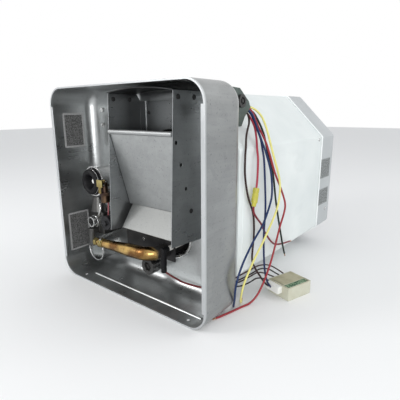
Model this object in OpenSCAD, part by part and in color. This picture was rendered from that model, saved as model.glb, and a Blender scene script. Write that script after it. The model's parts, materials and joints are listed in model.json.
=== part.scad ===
// Caravan water heater: an open control pan in front of a jacketed storage tank.
// Millimetres. X runs right as seen from the front, Y runs back, Z runs up from the floor.

/* [Casing] */
// Width and height of the square control pan
pan_size = 323; // [315:1:350]
// Depth from the pan's front rim to the ends of the water fittings
overall_depth = 487; // [460:1:560]
// Depth of the control pan
pan_depth = 84; // [80:1:92]
// Corner radius of the pan seen from the front
pan_corner_r = 30; // [26:1:36]
// Radius where the pan's sides turn into its back
pan_fillet = 20; // [14:1:24]
// Thickness of the sheet metal
sheet_t = 1; // [0.8:0.1:1.2]

/* [Jacket] */
// How far the jacket stands inside the pan's outline
jacket_set = 6; // [5:0.5:10]
// Width of the upper chamfers of the octagon
upper_chamfer = 78; // [66:1:84]
// Width of the lower chamfers of the octagon
lower_chamfer_x = 74; // [66:1:78]
// Height of the lower chamfers of the octagon
lower_chamfer_z = 50; // [44:1:56]
// Length of the rear cap
cap_len = 86; // [60:1:110]
// Bevel around the back of the rear cap
cap_bevel = 20; // [8:1:26]

/* [Tank] */
// Insulation between the tank and the jacket's sides
tank_gap = 16.5; // [12:0.5:22]
// Wall of the tank
tank_t = 2; // [1.5:0.5:3]
// Outer radius of the U-shaped combustion tube
leg_r = 40; // [36:1:42]

/* [Flue box] */
// Width of the flue box
flue_w = 131; // [122:1:134]
// Rise of the bowed flue top
flue_bow = 5; // [2:0.5:7]
// Radius of the rolled lip on the baffle
lip_r = 3.6; // [2.5:0.1:4.5]

/* [Burner] */
// Radius of the burner elbow
elbow_r = 11; // [9:0.5:12]
// Tilt of the mixing tube, rising to the right
mixer_rise = 3.4; // [3:0.1:5]

/* [Controls] */
// Radius of the limit switch collar
collar_r = 25; // [21:1:26]
// Radius of the open sleeve at the lower left
sleeve_r = 21; // [15:1:22]
// Radius of the drain thread
drain_r = 10.5; // [9:0.5:11]
// Diameter of the loose leads
lead_d = 3; // [2.4:0.1:3.2]

/* [Clearances] */
// Radial gap of a turning or sliding fit
run_gap = 0.05; // [0.02:0.01:0.1]
// Gap between neighbouring pieces that do not touch
free_gap = 0.4; // [0.3:0.05:0.6]

/* [Hidden] */
$fn = 64;

zinc = [0.74, 0.77, 0.79];
paint = [0.90, 0.93, 0.93];
bright = [0.85, 0.86, 0.87];
brass = [0.80, 0.62, 0.28];
dark = [0.10, 0.10, 0.11];
rubber = [0.05, 0.05, 0.05];

// Casing
front_y = -overall_depth / 2;
half = pan_size / 2;
left = -half;
back_in = pan_depth - sheet_t;
hem_t = 2.4;
hem_d = 5;
side_hem = 6;
jacket_half = half - jacket_set;
cap_t = 1.3;
cap_gap = 0.2;
cap_half = jacket_half + cap_gap + cap_t;
core_z = cap_half;
fitting_out = 21;
cap_d1 = overall_depth - fitting_out;
cap_d0 = cap_d1 - cap_len;
lap = 10;

// Tank and its combustion tube, both sized by the room inside the jacket
tank_r = jacket_half - sheet_t - tank_gap;
tank_d0 = pan_depth + 16;
tank_d1 = cap_d1 - 14;
knuckle = 25;
skirt = 6;
leg_t = 1.5;
leg_x = 30;
port_z = tank_r - 63;
port_r = 15;
leg_low = core_z - tank_r + 73;
leg_high = core_z + tank_r - 75;
leg_mid = (leg_low + leg_high) / 2;
leg_bend = (leg_high - leg_low) / 2;
leg_turn_d = tank_d1 - tank_t - 12 - leg_bend - leg_r;

// Flue box
flue_x0 = leg_x - 65;
flue_x1 = flue_x0 + flue_w;
flue_d1 = back_in;
flue_top_z = pan_size - 12;
flue_low_z = 103;
flue_step_z = 136;
lip_at = [18, flue_top_z - 55];
fold_at = [50, 139];
tip_at = [26, 105];
seam_x = flue_x0 + 15;
pierced = [[29, flue_top_z - 8], [61, flue_top_z - 8], [24, 245], [32.5, 215], [42, 181], [52, 147]];

// Burner
mix_reach = 130;
mix_at = [leg_x - mix_reach, 34, leg_low - 32];
mix_bend = 24;
mix_len = round(mix_reach / cos(mixer_rise)) - mix_bend;
bell_r = elbow_r - 4;
throat_r = elbow_r - 2.8;
outlet_x = mix_at[0] - 21;
burner_x = mix_at[0] + (mix_len + mix_bend) * cos(mixer_rise);
burner_z = mix_at[2] + (mix_len + mix_bend) * sin(mixer_rise);
plate_d = 64;
plate_t = 2;
bracket_x = flue_x0 - 27;
spark_at = [burner_x + 14.5, burner_z + 8];

// Controls on the left
relief_z = 147;
collar_at = [left + 49, relief_z + 21];
collar_d = 38;
boot_r = collar_r - 2.6;
button_r = 4;
valve_at = [left + 45.5, 50];
inlet_z = 95;
relief_at = [left + 90.5, 30];
pin_z = relief_z + 27;
coil_at = [left + 74.5, 97];
coil_exit = [left + 69.5, 138];
sleeve_at = [left + 32.5, 37];
drain_at = [leg_x - 28, core_z - tank_r + 17];
rod_r = drain_r - 1.5;

// Lead ends, in the corner between the jacket's upper chamfer and the pan
hood_at = [jacket_half - 25.5, core_z + jacket_half - 24.5];
harness_at = [jacket_half - 23.5, 27];
hood_d = pan_depth + 8;
gusset_at = [jacket_half - 14.5, core_z + jacket_half - 48.5];

module at_front() translate([0, front_y, 0]) children();
module rod_y(x, z, r, d0, d1) translate([x, d0, z]) rotate([-90, 0, 0]) cylinder(r = r, h = d1 - d0);
module tube_y(x, z, r, bore, d0, d1) difference() {
    rod_y(x, z, r, d0, d1);
    rod_y(x, z, bore, d0 - 1, d1 + 1);
}
module rod_z(x, d, r, z0, z1) translate([x, d, z0]) cylinder(r = r, h = z1 - z0);
module hex_y(x, z, r, d0, d1) translate([x, d0, z]) rotate([-90, 0, 0]) cylinder(r = r, h = d1 - d0, $fn = 6);
module box(a, b) translate(a) cube(b - a);
// A flat outline drawn in X and Z, pushed back from the front plane
module upright(d0, d1) translate([0, d0, 0]) rotate([-90, 0, 0]) linear_extrude(d1 - d0) mirror([0, 1])
    children();
// A flat outline drawn in depth and Z, spread over a width
module sideways(x0, x1) translate([x0, 0, 0]) rotate([90, 0, 90]) linear_extrude(x1 - x0) children();

// A drawn sheet: wall, rounded turn and back, as a half section
module drawn_blank(r, f, depth) {
    square([r - f, depth]);
    square([r, depth - f]);
    translate([r - f, depth - f]) intersection() {
        circle(f);
        square(f);
    }
}
module drawn_wall(r, f, depth, t) difference() {
    drawn_blank(r, f, depth);
    translate([0, -1]) drawn_blank(r - t, f - t, depth - t + 1);
}
module pan_section() {
    drawn_wall(pan_corner_r, pan_fillet, pan_depth, sheet_t);
    translate([pan_corner_r - hem_t, 0]) square([hem_t, hem_d]);
}
module drawn_pan() {
    c = half - pan_corner_r;
    for (a = [0 : 90 : 270]) rotate([0, 0, a]) {
        translate([c, c, 0]) rotate_extrude(angle = 90) pan_section();
        translate([c, c, 0]) rotate([90, 0, 0]) linear_extrude(2 * c) pan_section();
    }
    translate([-c, -c, back_in]) cube([2 * c, 2 * c, sheet_t]);
}

// The jacket's octagon about its own centre
function octagon(h, grow) = let (u = upper_chamfer + 0.586 * grow, x = lower_chamfer_x + 0.5 * grow,
    z = lower_chamfer_z + 0.5 * grow) [[-h + x, -h], [h - x, -h], [h, -h + z], [h, h - u], [h - u, h],
    [-h + u, h], [-h, h - u], [-h, -h + z]];
module octa(h, grow, d0, d1) upright(d0, d1) translate([0, core_z]) polygon(octagon(h, grow));
// The octagon with its back edges bevelled
module octa_can(h, grow, d0, d1, bevel) difference() {
    octa(h, grow, d0, d1);
    low = atan2(lower_chamfer_x, lower_chamfer_z);
    low_p = h * cos(low) - (lower_chamfer_z - h) * sin(low);
    up_p = (2 * h - upper_chamfer) / sqrt(2);
    for (s = [[0, h], [90, h], [180, h], [270, h], [45, up_p], [135, up_p], [-low, low_p],
        [180 + low, low_p]])
        translate([0, 0, core_z]) rotate([0, -s[0], 0]) translate([s[1], d1 - bevel, 0]) rotate([0, 0, 45])
            translate([0, -half, -half]) cube(2 * half);
}

module control_pan() color(zinc) at_front() difference() {
    union() {
        translate([0, 0, half]) rotate([-90, 0, 0]) drawn_pan();
        intersection() {
            translate([left + 52, 28, 0]) rotate([0, 90, 0]) cylinder(r = 3, h = pan_size - 80);
            box([left, 20, sheet_t / 2], [half, 36, 6]);
        }
        for (x = [left, half - side_hem])
            box([x, 0, pan_corner_r], [x + side_hem, sheet_t, pan_size - pan_corner_r]);
    }
    for (z = [leg_low, leg_high]) rod_y(leg_x, z, leg_r, back_in - 1, pan_depth + 1);
    rod_y(collar_at[0], collar_at[1], collar_r - 1.2, back_in - 1, pan_depth + 1);
    rod_y(sleeve_at[0], sleeve_at[1], sleeve_r, 50, pan_depth + 5);
    rod_y(relief_at[0], relief_z, 7, back_in - 1, pan_depth + 1);
    rod_y(drain_at[0], drain_at[1], drain_r + 2.5, back_in - 1, pan_depth + 1);
    rod_y(hood_at[0], hood_at[1], 7, back_in - 1, pan_depth + 1);
    rod_y(harness_at[0], harness_at[1], 5, back_in - 1, pan_depth + 1);
    rod_y(coil_exit[0], coil_exit[1], 3, back_in - 1, pan_depth + 1);
    for (x = [-120, 120], z = [-1, pan_size - 3]) rod_z(x, 14, 2.4, z, z + 4);
}

module jacket_wrap() color(paint) at_front() difference() {
    octa(jacket_half, 0, pan_depth, cap_d0 + lap);
    octa(jacket_half - sheet_t, -sheet_t, pan_depth - 1, cap_d0 + lap + 1);
}

module rear_cap() color(paint) at_front() difference() {
    octa_can(cap_half, cap_gap + cap_t, cap_d0, cap_d1, cap_bevel);
    octa_can(cap_half - cap_t, cap_gap, cap_d0 - 1, cap_d1 - cap_t, cap_bevel - 0.5);
    for (z = [-port_z, port_z]) rod_y(0, core_z + z, port_r, cap_d1 - cap_t - 1, cap_d1 + 1);
}

module insulation() color([0.93, 0.90, 0.78]) at_front() difference() {
    octa_can(jacket_half - sheet_t, -sheet_t, pan_depth, cap_d1 - cap_t, cap_bevel);
    rod_y(0, core_z, tank_r, tank_d0, tank_d1);
    for (z = [leg_low, leg_high]) rod_y(leg_x, z, leg_r, pan_depth - 1, tank_d0 + 1);
    rod_y(collar_at[0], collar_at[1], 9, pan_depth - 1, tank_d0 + 1);
    rod_y(relief_at[0], relief_z, 7, pan_depth - 1, tank_d0 + 1);
    rod_y(drain_at[0], drain_at[1], drain_r + 2.5, pan_depth - 1, tank_d0 + 1);
    rod_y(coil_exit[0], coil_exit[1], 3, pan_depth - 1, pan_depth + 4);
    for (z = [-port_z, port_z]) rod_y(0, core_z + z, port_r, tank_d1 - 1, cap_d1);
}

module tank_shell() color(bright) at_front()
    tube_y(0, core_z, tank_r, tank_r - tank_t, tank_d0 + knuckle + skirt, tank_d1 - knuckle - skirt);

module tank_head() rotate_extrude() drawn_wall(tank_r, knuckle, knuckle + skirt, tank_t);

module tank_front_head() color(bright) at_front() difference() {
    translate([0, tank_d0 + knuckle + skirt, core_z]) rotate([90, 0, 0]) tank_head();
    for (z = [leg_low, leg_high]) rod_y(leg_x, z, leg_r, tank_d0 - 1, tank_d0 + 9);
    rod_y(relief_at[0], relief_z, 7, tank_d0 - 1, tank_d0 + 9);
    rod_y(drain_at[0], drain_at[1], drain_r + 2.5, tank_d0 - 1, tank_d0 + 16);
}

module tank_rear_head() color(bright) at_front() difference() {
    translate([0, tank_d1 - knuckle - skirt, core_z]) rotate([-90, 0, 0]) tank_head();
    for (z = [-port_z, port_z]) rod_y(0, core_z + z, port_r, tank_d1 - 9, tank_d1 + 1);
}

module u_tube(r, d0, d1) {
    rod_y(leg_x, leg_low, r, d0, leg_turn_d);
    rod_y(leg_x, leg_high, r, d1, leg_turn_d);
    translate([leg_x, leg_turn_d, leg_mid]) rotate([0, 90, 0]) rotate_extrude(angle = 180)
        translate([leg_bend, 0]) circle(r);
}
module combustion_tube() color(bright) at_front() difference() {
    union() {
        u_tube(leg_r, back_in - 2, flue_d1);
        translate([leg_x, back_in, leg_low]) rotate([90, 0, 0]) rotate_extrude() {
            translate([leg_r - leg_t, 0]) square([leg_t + 3.5, 1.2]);
            translate([leg_r + 1, 2.2]) circle(2);
        }
    }
    u_tube(leg_r - leg_t, back_in - 6, flue_d1 - 1);
}

// Flue box
module flue_side(x) sideways(x, x + sheet_t) difference() {
    polygon([[20, flue_top_z], [10, flue_low_z], [flue_d1, flue_low_z - 5], [flue_d1, flue_top_z - 10],
        [flue_d1 - 7, flue_top_z]]);
    for (p = pierced) translate(p) circle(2.7);
}
module flue_wrap() color(zinc) at_front() difference() {
    union() {
        flue_side(flue_x0);
        flue_side(flue_x1 - sheet_t);
        box([flue_x0, flue_d1 - sheet_t, flue_step_z], [flue_x1, flue_d1, flue_top_z - 10]);
        box([seam_x - 1.5, flue_d1 - 2 * sheet_t, leg_high + leg_r], [seam_x, flue_d1, flue_top_z - 10]);
    }
    rod_y(leg_x, leg_high, leg_r - leg_t, flue_d1 - 3, flue_d1 + 1);
}

module flue_top() color(zinc) at_front() {
    span = flue_w / 2;
    r = (span * span + flue_bow * flue_bow) / (2 * flue_bow);
    intersection() {
        tube_y(flue_x0 + span, flue_top_z + flue_bow - r, r + sheet_t, r, 18, flue_d1 - 8, $fn = 180);
        box([flue_x0, 0, flue_top_z], [flue_x1, flue_d1, flue_top_z + flue_bow + 2]);
    }
}

function plate(a, b, t) = let (n = [-(b - a)[1], (b - a)[0]] * t / norm(b - a)) [a, b, b + n, a + n];
module flue_baffle() color(zinc) at_front() sideways(flue_x0 + sheet_t, flue_x1 - sheet_t) {
    polygon(plate(lip_at, fold_at, 1.2));
    translate(lip_at) circle(lip_r);
}
module flue_deflector() color(bright) at_front() sideways(flue_x0 + 10, flue_x1 - sheet_t)
    polygon(plate(tip_at, fold_at, 1.2));

module flue_rivets() color(bright) at_front()
    for (p = [[flue_x1 - 8, flue_top_z - 20], [flue_x0 + 8, flue_step_z + 20],
        [flue_x1 - 8, flue_step_z + 20], [seam_x + 6, flue_top_z - 28]])
        translate([p[0], flue_d1 - sheet_t, p[1]]) rotate([90, 0, 0]) cylinder(r1 = 3, r2 = 2, h = 1.6);

// Burner, in the mixing tube's own tilted frame
module mixer() at_front() translate(mix_at) rotate([0, -mixer_rise, 0]) children();
module mix_turned(points) rotate([0, 90, 0]) rotate_extrude() polygon(points);
module ring_bend(r, bore) translate([mix_len, mix_bend, 0]) rotate([0, 0, -90]) rotate_extrude(angle = 90)
    translate([mix_bend, 0]) difference() {
        circle(r);
        circle(bore);
    }

// Two rows of air windows through the tube's narrow mouth
module air_windows(turn, trim) for (a = [75 : 90 : 345], x = [3.2, 8.6]) rotate([a + turn, 0, 0])
    box([x + trim, -1.9, 0], [x + 3.4 - trim, 1.9, bell_r + 3]);
module mixing_tube() color(brass) mixer() {
    difference() {
        mix_turned([[bell_r - 1, 0], [bell_r + 1.4, 0], [bell_r + 1.4, 1.5], [bell_r, 1.5], [bell_r, 13.5],
            [throat_r, 15.5], [throat_r, 40], [elbow_r, 78], [elbow_r, mix_len], [elbow_r - 1, mix_len],
            [elbow_r - 1, 78], [throat_r - 1, 40], [throat_r - 1, 16], [bell_r - 1, 14]]);
        air_windows(0, 0);
    }
    ring_bend(elbow_r, elbow_r - 1);
    tube_y(mix_len + mix_bend, 0, elbow_r, elbow_r - 1, mix_bend, mix_bend + 14);
}

module air_shutter() color(brass) mixer() difference() {
    mix_turned([[bell_r + run_gap, 2], [bell_r + 1.2, 2], [bell_r + 1.2, 13], [bell_r + run_gap, 13]]);
    air_windows(-12, 0.4);
    rotate([30, 0, 0]) rod_z(7.6, 0, 1.2, bell_r - 2, bell_r + 3);
}
module shutter_screw() color(bright) mixer() rotate([30, 0, 0]) {
    rod_z(7.6, 0, 1.2, bell_r + run_gap + 0.1, bell_r + 1.2);
    rod_z(7.6, 0, 2.4, bell_r + 1.2, bell_r + 3);
}

module burner_head() color(dark) mixer() difference() {
    tube_y(mix_len + mix_bend, 0, elbow_r + 1.2, elbow_r, mix_bend + 12, mix_bend + 180);
    for (d = [mix_bend + 50 : 14 : mix_bend + 170])
        box([mix_len + mix_bend - 6, d, 2], [mix_len + mix_bend + 6, d + 3, elbow_r + 5]);
}

module spud_line(r1, r2, x0, x1) rotate([0, 90, 0]) translate([0, 0, x0])
    cylinder(r1 = r1, r2 = r2, h = x1 - x0);
module gas_spud() color(brass) mixer() difference() {
    union() {
        spud_line(4.6, 4.6, -19, -6);
        spud_line(7.4, 7.4, -13, -6, $fn = 6);
        spud_line(4.2, 2, -6, 1);
    }
    spud_line(1, 1, -20, 2);
}

module burner_bracket() color(dark) at_front() difference() {
    union() {
        box([bracket_x, plate_d, burner_z - 16], [spark_at[0] + 7, plate_d + plate_t, burner_z + 27]);
        box([bracket_x, plate_d, burner_z - 16], [bracket_x + 2, back_in, burner_z + 27]);
        box([bracket_x - 12, back_in - plate_t, burner_z - 16], [bracket_x + 2, back_in, burner_z + 27]);
    }
    rod_y(burner_x, burner_z, elbow_r, plate_d - 1, plate_d + 3);
    rod_y(spark_at[0], spark_at[1], 4, plate_d - 1, plate_d + 3);
}
module igniter() color([0.94, 0.93, 0.90]) at_front() {
    rod_y(spark_at[0], spark_at[1], 4, 56, 92);
    rod_y(spark_at[0], spark_at[1], 1.3, 92, 112);
}
module igniter_boot() color(rubber) at_front() {
    rod_y(spark_at[0], spark_at[1], 4.8, 42, 56);
    rod_z(spark_at[0], 46, 4.6, spark_at[1] - 36, spark_at[1]);
}

// Gas valve and its fittings
module gas_valve() color([0.62, 0.63, 0.64]) difference() {
    at_front() {
        x = valve_at[0];
        box([x - 25, 44, 72], [x + 16, back_in, 112]);
        translate([x - 3, valve_at[1], 112]) cylinder(r1 = 14, r2 = 9, h = 27);
        rod_z(outlet_x, mix_at[1], 7, mix_at[2] - 9, 83);
        box([outlet_x - 7, mix_at[1], 74], [outlet_x + 7, 45, 83]);
    }
    mixer() spud_line(4.6, 4.6, -19, -6);
}
module gas_inlet() color(bright) at_front() difference() {
    union() {
        hex_y(valve_at[0] - 2, inlet_z, 11.5, 38, 44);
        rod_y(valve_at[0] - 2, inlet_z, 9.6, 30, 38);
    }
    rod_y(valve_at[0] - 2, inlet_z, 7.2, 29, 45);
}
module solenoid() color(rubber) at_front() {
    rod_y(coil_at[0], coil_at[1], 13, 38, 64);
    hex_y(coil_at[0], coil_at[1], 5.5, 34.5, 38);
}

module limit_collar() color(bright) at_front() {
    tube_y(collar_at[0], collar_at[1], collar_r, collar_r - 1.2, collar_d, back_in);
    tube_y(collar_at[0], collar_at[1], collar_r + 1.4, collar_r - 1.2, collar_d, collar_d + 3);
    tube_y(collar_at[0], collar_at[1], boot_r, boot_r - 1.4, collar_d - 5.5, collar_d - 3.5);
}
module limit_switch() color([0.3, 0.3, 0.32]) at_front() difference() {
    union() {
        rod_y(collar_at[0], collar_at[1], collar_r - 1.2, 58, 61);
        rod_y(collar_at[0], collar_at[1], 16, 61, 76);
        rod_y(collar_at[0], collar_at[1], 8, 76, tank_d0 - 0.2);
    }
    rod_y(collar_at[0], collar_at[1], 5, 57, 70);
}
module limit_boot() color(rubber) at_front() translate([collar_at[0], 58, collar_at[1]]) rotate([90, 0, 0])
    rotate_extrude() polygon([[button_r + run_gap, 0], [collar_r - 1.2, 0], [collar_r - 1.2, 18],
        [boot_r, 20], [boot_r, 23.5], [boot_r - 1.4, 23.5], [boot_r - 1.4, 24.6], [boot_r - 4, 25.8],
        [boot_r - 8, 26.2], [12, 25.2], [9.6, 20], [8.6, 17], [button_r + run_gap, 17]]);
module reset_button() color([0.95, 0.95, 0.93]) at_front() {
    rod_y(collar_at[0], collar_at[1], button_r, 37.5, 66);
    rod_y(collar_at[0], collar_at[1], button_r + 0.8, 58.4, 60);
}

// Relief valve, upright in front of the back wall
module relief_axle(r, w) translate([relief_at[0] - w / 2, relief_at[1], pin_z]) rotate([0, 90, 0])
    cylinder(r = r, h = w);
module relief_valve() color(brass) at_front() {
    x = relief_at[0];
    d = relief_at[1];
    difference() {
        union() {
            rod_z(x, d, 7.4, relief_z - 8, relief_z + 8);
            rod_y(x, relief_z, 7, d, tank_d0 + 6);
            hex_y(x, relief_z, 11, back_in - 9, back_in);
            translate([x, d, relief_z + 4]) cylinder(r = 9, h = 5, $fn = 6);
            rod_z(x, d, 5.6, relief_z + 8, relief_z + 20);
            for (s = [-5, 3.2]) box([x + s, d - 2.8, relief_z + 19], [x + s + 1.8, d + 2.8, pin_z]);
            difference() {
                relief_axle(2.8, 10);
                relief_axle(3, 6.4);
            }
        }
        rod_z(x, d, 4.4, relief_z - 9, relief_z + 16);
        rod_z(x, d, 2.2 + run_gap, relief_z + 15, relief_z + 21);
        relief_axle(1.5, 12);
    }
}
module relief_pin() color(bright) at_front() relief_axle(1.5, 11.2);
module relief_lever() color(brass) at_front() {
    x = relief_at[0];
    d = relief_at[1];
    difference() {
        union() {
            relief_axle(2.6, 5.8);
            box([x - 2.9, d - 10.4, pin_z - 1], [x + 2.9, d, pin_z + 1]);
            box([x - 7, d - 10.4, pin_z - 8.5], [x + 7, d - 8.8, pin_z + 3.5]);
            box([x - 3, d - 10.4, pin_z - 19], [x + 3, d - 8.8, pin_z - 8.5]);
        }
        relief_axle(1.5 + run_gap, 12);
    }
}
module relief_stem() color(bright) at_front() {
    rod_z(relief_at[0], relief_at[1], 2.2, relief_z + 2, relief_z + 21.5);
    rod_z(relief_at[0], relief_at[1], 4, relief_z, relief_z + 2.5);
}

// Swept rounds: a smooth run through a few points, and a tube along it
function unit(v) = v / norm(v);
function spot(p, i) = p[max(0, min(i, len(p) - 1))];
function blend(a, b, c, d, t) = 0.5 * (2 * b + (c - a) * t + (2 * a - 5 * b + 4 * c - d) * t * t
    + (3 * b - a - 3 * c + d) * t * t * t);
function smooth(p, k) = [for (i = [0 : len(p) - 2], j = [0 : k - 1])
    blend(spot(p, i - 1), p[i], p[i + 1], spot(p, i + 2), j / k), p[len(p) - 1]];
function along(p, i) = unit(spot(p, i + 1) - spot(p, i - 1));
function carried(u, t) = unit(u - (u * t) * t);
function frames(p, u, i = 0, got = []) = i == len(p) ? got
    : let (n = carried(u, along(p, i))) frames(p, n, i + 1, concat(got, [n]));
module sweep(p, r, sides) {
    n = frames(p, carried(abs(along(p, 0)[2]) > 0.9 ? [1, 0, 0] : [0, 0, 1], along(p, 0)));
    ring = [for (i = [0 : len(p) - 1], k = [0 : sides - 1])
        p[i] + r * (cos(360 * k / sides) * n[i] + sin(360 * k / sides) * cross(along(p, i), n[i]))];
    last = (len(p) - 1) * sides;
    polyhedron(ring, concat([[for (k = [0 : sides - 1]) sides - 1 - k]],
        [[for (k = [0 : sides - 1]) last + k]],
        [for (i = [0 : len(p) - 2], k = [0 : sides - 1], h = [0, 1]) let (a = i * sides + k,
            b = i * sides + (k + 1) % sides) h == 0 ? [a, b, b + sides] : [a, b + sides, a + sides]]));
}

module relief_spring() color([0.5, 0.5, 0.52]) at_front() {
    turns = 4;
    p = [for (i = [0 : 12 * turns]) [relief_at[0] + 3.1 * cos(30 * i), relief_at[1] + 3.1 * sin(30 * i),
        relief_z + 3.3 + 11.8 * i / (12 * turns)]];
    sweep(p, 0.6, 6);
}

valve_tube_run = [[11, 44, 106], [11, 39, 106.5], [18, 35, 113], [22, 35, 122], [19, 38, 130],
    [12, 46, 133], [5.5, 50.5, 130]];
module valve_tube() color(bright) at_front() translate([valve_at[0], 0, 0])
    sweep(smooth(valve_tube_run, 4), 2, 10);

valve_lead_run = [[-1, 46, 109], [1, 45.5, 118], [1.5, 46, 128], [-1.5, 49, 137], [-4, 57, 142],
    [-5, 68, 141], [-5, 79, 138]];
module valve_lead() color([0.75, 0.12, 0.12]) at_front() translate([coil_at[0], 46, 0]) {
    reach = (back_in - 50) / 33;
    sweep(smooth([for (q = valve_lead_run) [q[0], (q[1] - 46) * reach, q[2]]], 4), 1.2, 8);
}
igniter_lead_run = [[1, 46, -33.7], [5, 47, -36.2], [11, 50, -40.2], [18, 56, -46.2], [26, 62.5, -52.2],
    [44, 69, -55.1], [61, 73, -54.8], [75, 77, -52.7]];
module igniter_lead() color([0.45, 0.12, 0.12]) at_front() {
    goal = [harness_at[0], back_in - 3, harness_at[1]];
    wide = (goal[0] - spark_at[0]) / 88;
    deep = (goal[1] - 46) / 34;
    run = [for (q = igniter_lead_run)
        [spark_at[0] + q[0] * wide, 46 + (q[1] - 46) * deep, spark_at[1] + q[2]]];
    sweep(smooth(concat(run, [goal]), 5), 1.6, 8);
}

module entry_sleeve() color(bright) at_front() {
    tube_y(sleeve_at[0], sleeve_at[1], sleeve_r, sleeve_r - 1.2, 44, pan_depth);
    translate([sleeve_at[0], 45, sleeve_at[1]]) rotate([90, 0, 0]) rotate_extrude()
        translate([sleeve_r - 0.6, 0]) circle(1.4);
}

module drain_boss() color(bright) at_front()
    tube_y(drain_at[0], drain_at[1], drain_r + 2.5, drain_r + run_gap, back_in - 12, tank_d0 + 14);
module drain_plug() color(dark) at_front() {
    difference() {
        rod_y(drain_at[0], drain_at[1], 14, back_in - 33, back_in - 19);
        hex_y(drain_at[0], drain_at[1], 8, back_in - 34, back_in - 27);
    }
    rod_y(drain_at[0], drain_at[1], 13.5, back_in - 19, back_in - 12 - free_gap);
    rod_y(drain_at[0], drain_at[1], drain_r, back_in - 12 - free_gap, tank_d0 + 10);
}
module anode_rod() color([0.7, 0.7, 0.68]) at_front()
    rod_y(drain_at[0], drain_at[1], rod_r, tank_d0 + 10, tank_d0 + 225);

// Blank plates, stickers and fasteners
module wall_plates() color([0.88, 0.89, 0.87]) at_front() {
    box([left + sheet_t, 20, pan_size - 99], [left + sheet_t + 0.5, pan_depth - 24, pan_size - 40]);
    box([left + sheet_t, 13, 36], [left + sheet_t + 0.5, pan_depth - 29, 107]);
}
module cap_stickers() color([0.97, 0.97, 0.95]) at_front() for (z = [[-63, -29], [-7, 33]])
    box([cap_half, cap_d0 + 3, core_z + z[0]], [cap_half + 0.4, cap_d0 + 54, core_z + z[1]]);
module screws() color(bright) at_front() {
    for (s = [-1, 1], p = [[cap_half, cap_d0 + 46, lower_chamfer_z + 31], [jacket_half, cap_d0 - 11,
        core_z + jacket_half - upper_chamfer - 5]])
        translate([s * p[0], p[1], p[2]]) rotate([0, 90 * s, 0]) cylinder(r1 = 3.2, r2 = 2.2, h = 1.6);
    for (p = [[left + 28, pan_size - 35], [left + 28, pan_size - 61], [half - 46, pan_size - 73],
        [half - 46, 70]])
        hex_y(p[0], p[1], 4.4, back_in - 3, back_in);
    for (z = [burner_z - 9, burner_z + 20])
        rod_y(bracket_x - 6, z, 3.4, back_in - plate_t - 2.2, back_in - plate_t);
    rod_y(burner_x - 47, burner_z + 9, 3, plate_d - 2.4, plate_d);
}
module water_fittings() color(brass) at_front() for (z = [-port_z, port_z]) difference() {
    union() {
        rod_y(0, core_z + z, port_r, tank_d1 - tank_t - 6, overall_depth - 8);
        hex_y(0, core_z + z, port_r, overall_depth - 8, overall_depth);
    }
    rod_y(0, core_z + z, 9.2, tank_d1 - tank_t - 7, overall_depth + 1);
}

// Wiring gusset behind the pan's upper right corner
module wiring_gusset() color(zinc) at_front() {
    x = gusset_at[0];
    z = gusset_at[1];
    d = pan_depth;
    difference() {
        sideways(x - 1.2, x) polygon([[d, z + 52], [d + 20, z + 51], [d + 44, z + 34], [d + 49, z + 26],
            [d + 34, z + 13], [d + 26, z], [d, z]]);
        translate([x - 5, d + 22, z + 34]) rotate([0, 90, 0]) cylinder(r = 7, h = 10);
    }
    box([x - 12, d, z], [x, d + 1.2, z + 13]);
}
module gusset_bushing() color(rubber) at_front() translate([gusset_at[0], pan_depth + 22, gusset_at[1] + 34])
    rotate([0, 90, 0]) {
        translate([0, 0, -1.2]) cylinder(r = 7, h = 1.2);
        difference() {
            cylinder(r = 9, h = 4);
            translate([0, 0, 2]) cylinder(r = 5, h = 3);
        }
        cylinder(r = 2.4, h = 4);
    }
module lead_grommets() color(rubber) at_front() {
    rod_y(hood_at[0], hood_at[1], 7, back_in, pan_depth);
    rod_y(hood_at[0], hood_at[1], 9, back_in - 3, back_in);
    rod_y(hood_at[0], hood_at[1], 9, pan_depth, hood_d);
    rod_y(harness_at[0], harness_at[1], 5, back_in, pan_depth);
    rod_y(harness_at[0], harness_at[1], 6, back_in - 3, back_in);
    rod_y(harness_at[0], harness_at[1], 6, pan_depth, hood_d - 2);
    rod_y(coil_exit[0], coil_exit[1], 5, back_in - 4, back_in);
    rod_y(coil_exit[0], coil_exit[1], 3, back_in, pan_depth + 2);
}

// Loose leads. Each run starts at the upper grommet, counted from the jacket's right side,
// the pan's front and the floor. Above lead_knee a run moves with the grommet, below it stretches.
lead_knee = 215;
hood_rise = hood_at[1] - 288;
function lead_z(z) = z > lead_knee ? z + hood_rise : z * (lead_knee + hood_rise) / lead_knee;
joint_at = [7.5, 118, 178];
joint_rise = lead_z(joint_at[2]) - joint_at[2];
brown_run = [[-23.8, 92, 285.1], [-23.8, 110, 285.1], [-23.3, 123.7, 287], [-21.1, 130.8, 284.4],
    [-17.5, 132.9, 276.8], [-13.8, 128.4, 267.7], [-9.8, 118.1, 258.8], [-4.8, 107.1, 249.5],
    [1.3, 96.8, 237.4], [3.5, 92, 223], [3.5, 93, 198], [3.5, 102, 168], [3.5, 118, 138], [3.5, 122, 106],
    [4.5, 117, 70], [6.5, 122, 54], [9.5, 133, 37], [13.5, 143, 22], [16.6, 149.7, 15]];
red_run = [[-27.2, 92, 285.1], [-27.2, 110, 285.1], [-26.6, 126.5, 286.6], [-23.9, 133.6, 284.1],
    [-18.5, 136.8, 277.3], [-10.6, 135.1, 266.9], [-4.5, 131.2, 256.9], [0.3, 126.8, 244.9],
    [4.1, 122.6, 232], [7.5, 120, 218], [7.5, 120, 192], [7.5, 118, 178]];
tail_run = [[7.5, 112, 151.7], [7.5, 112.5, 143], [7.5, 121, 133], [7.5, 136, 119], [7.5, 152, 99],
    [7.5, 178, 76], [7.5, 204, 67], [7.5, 241, 61]];
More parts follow.
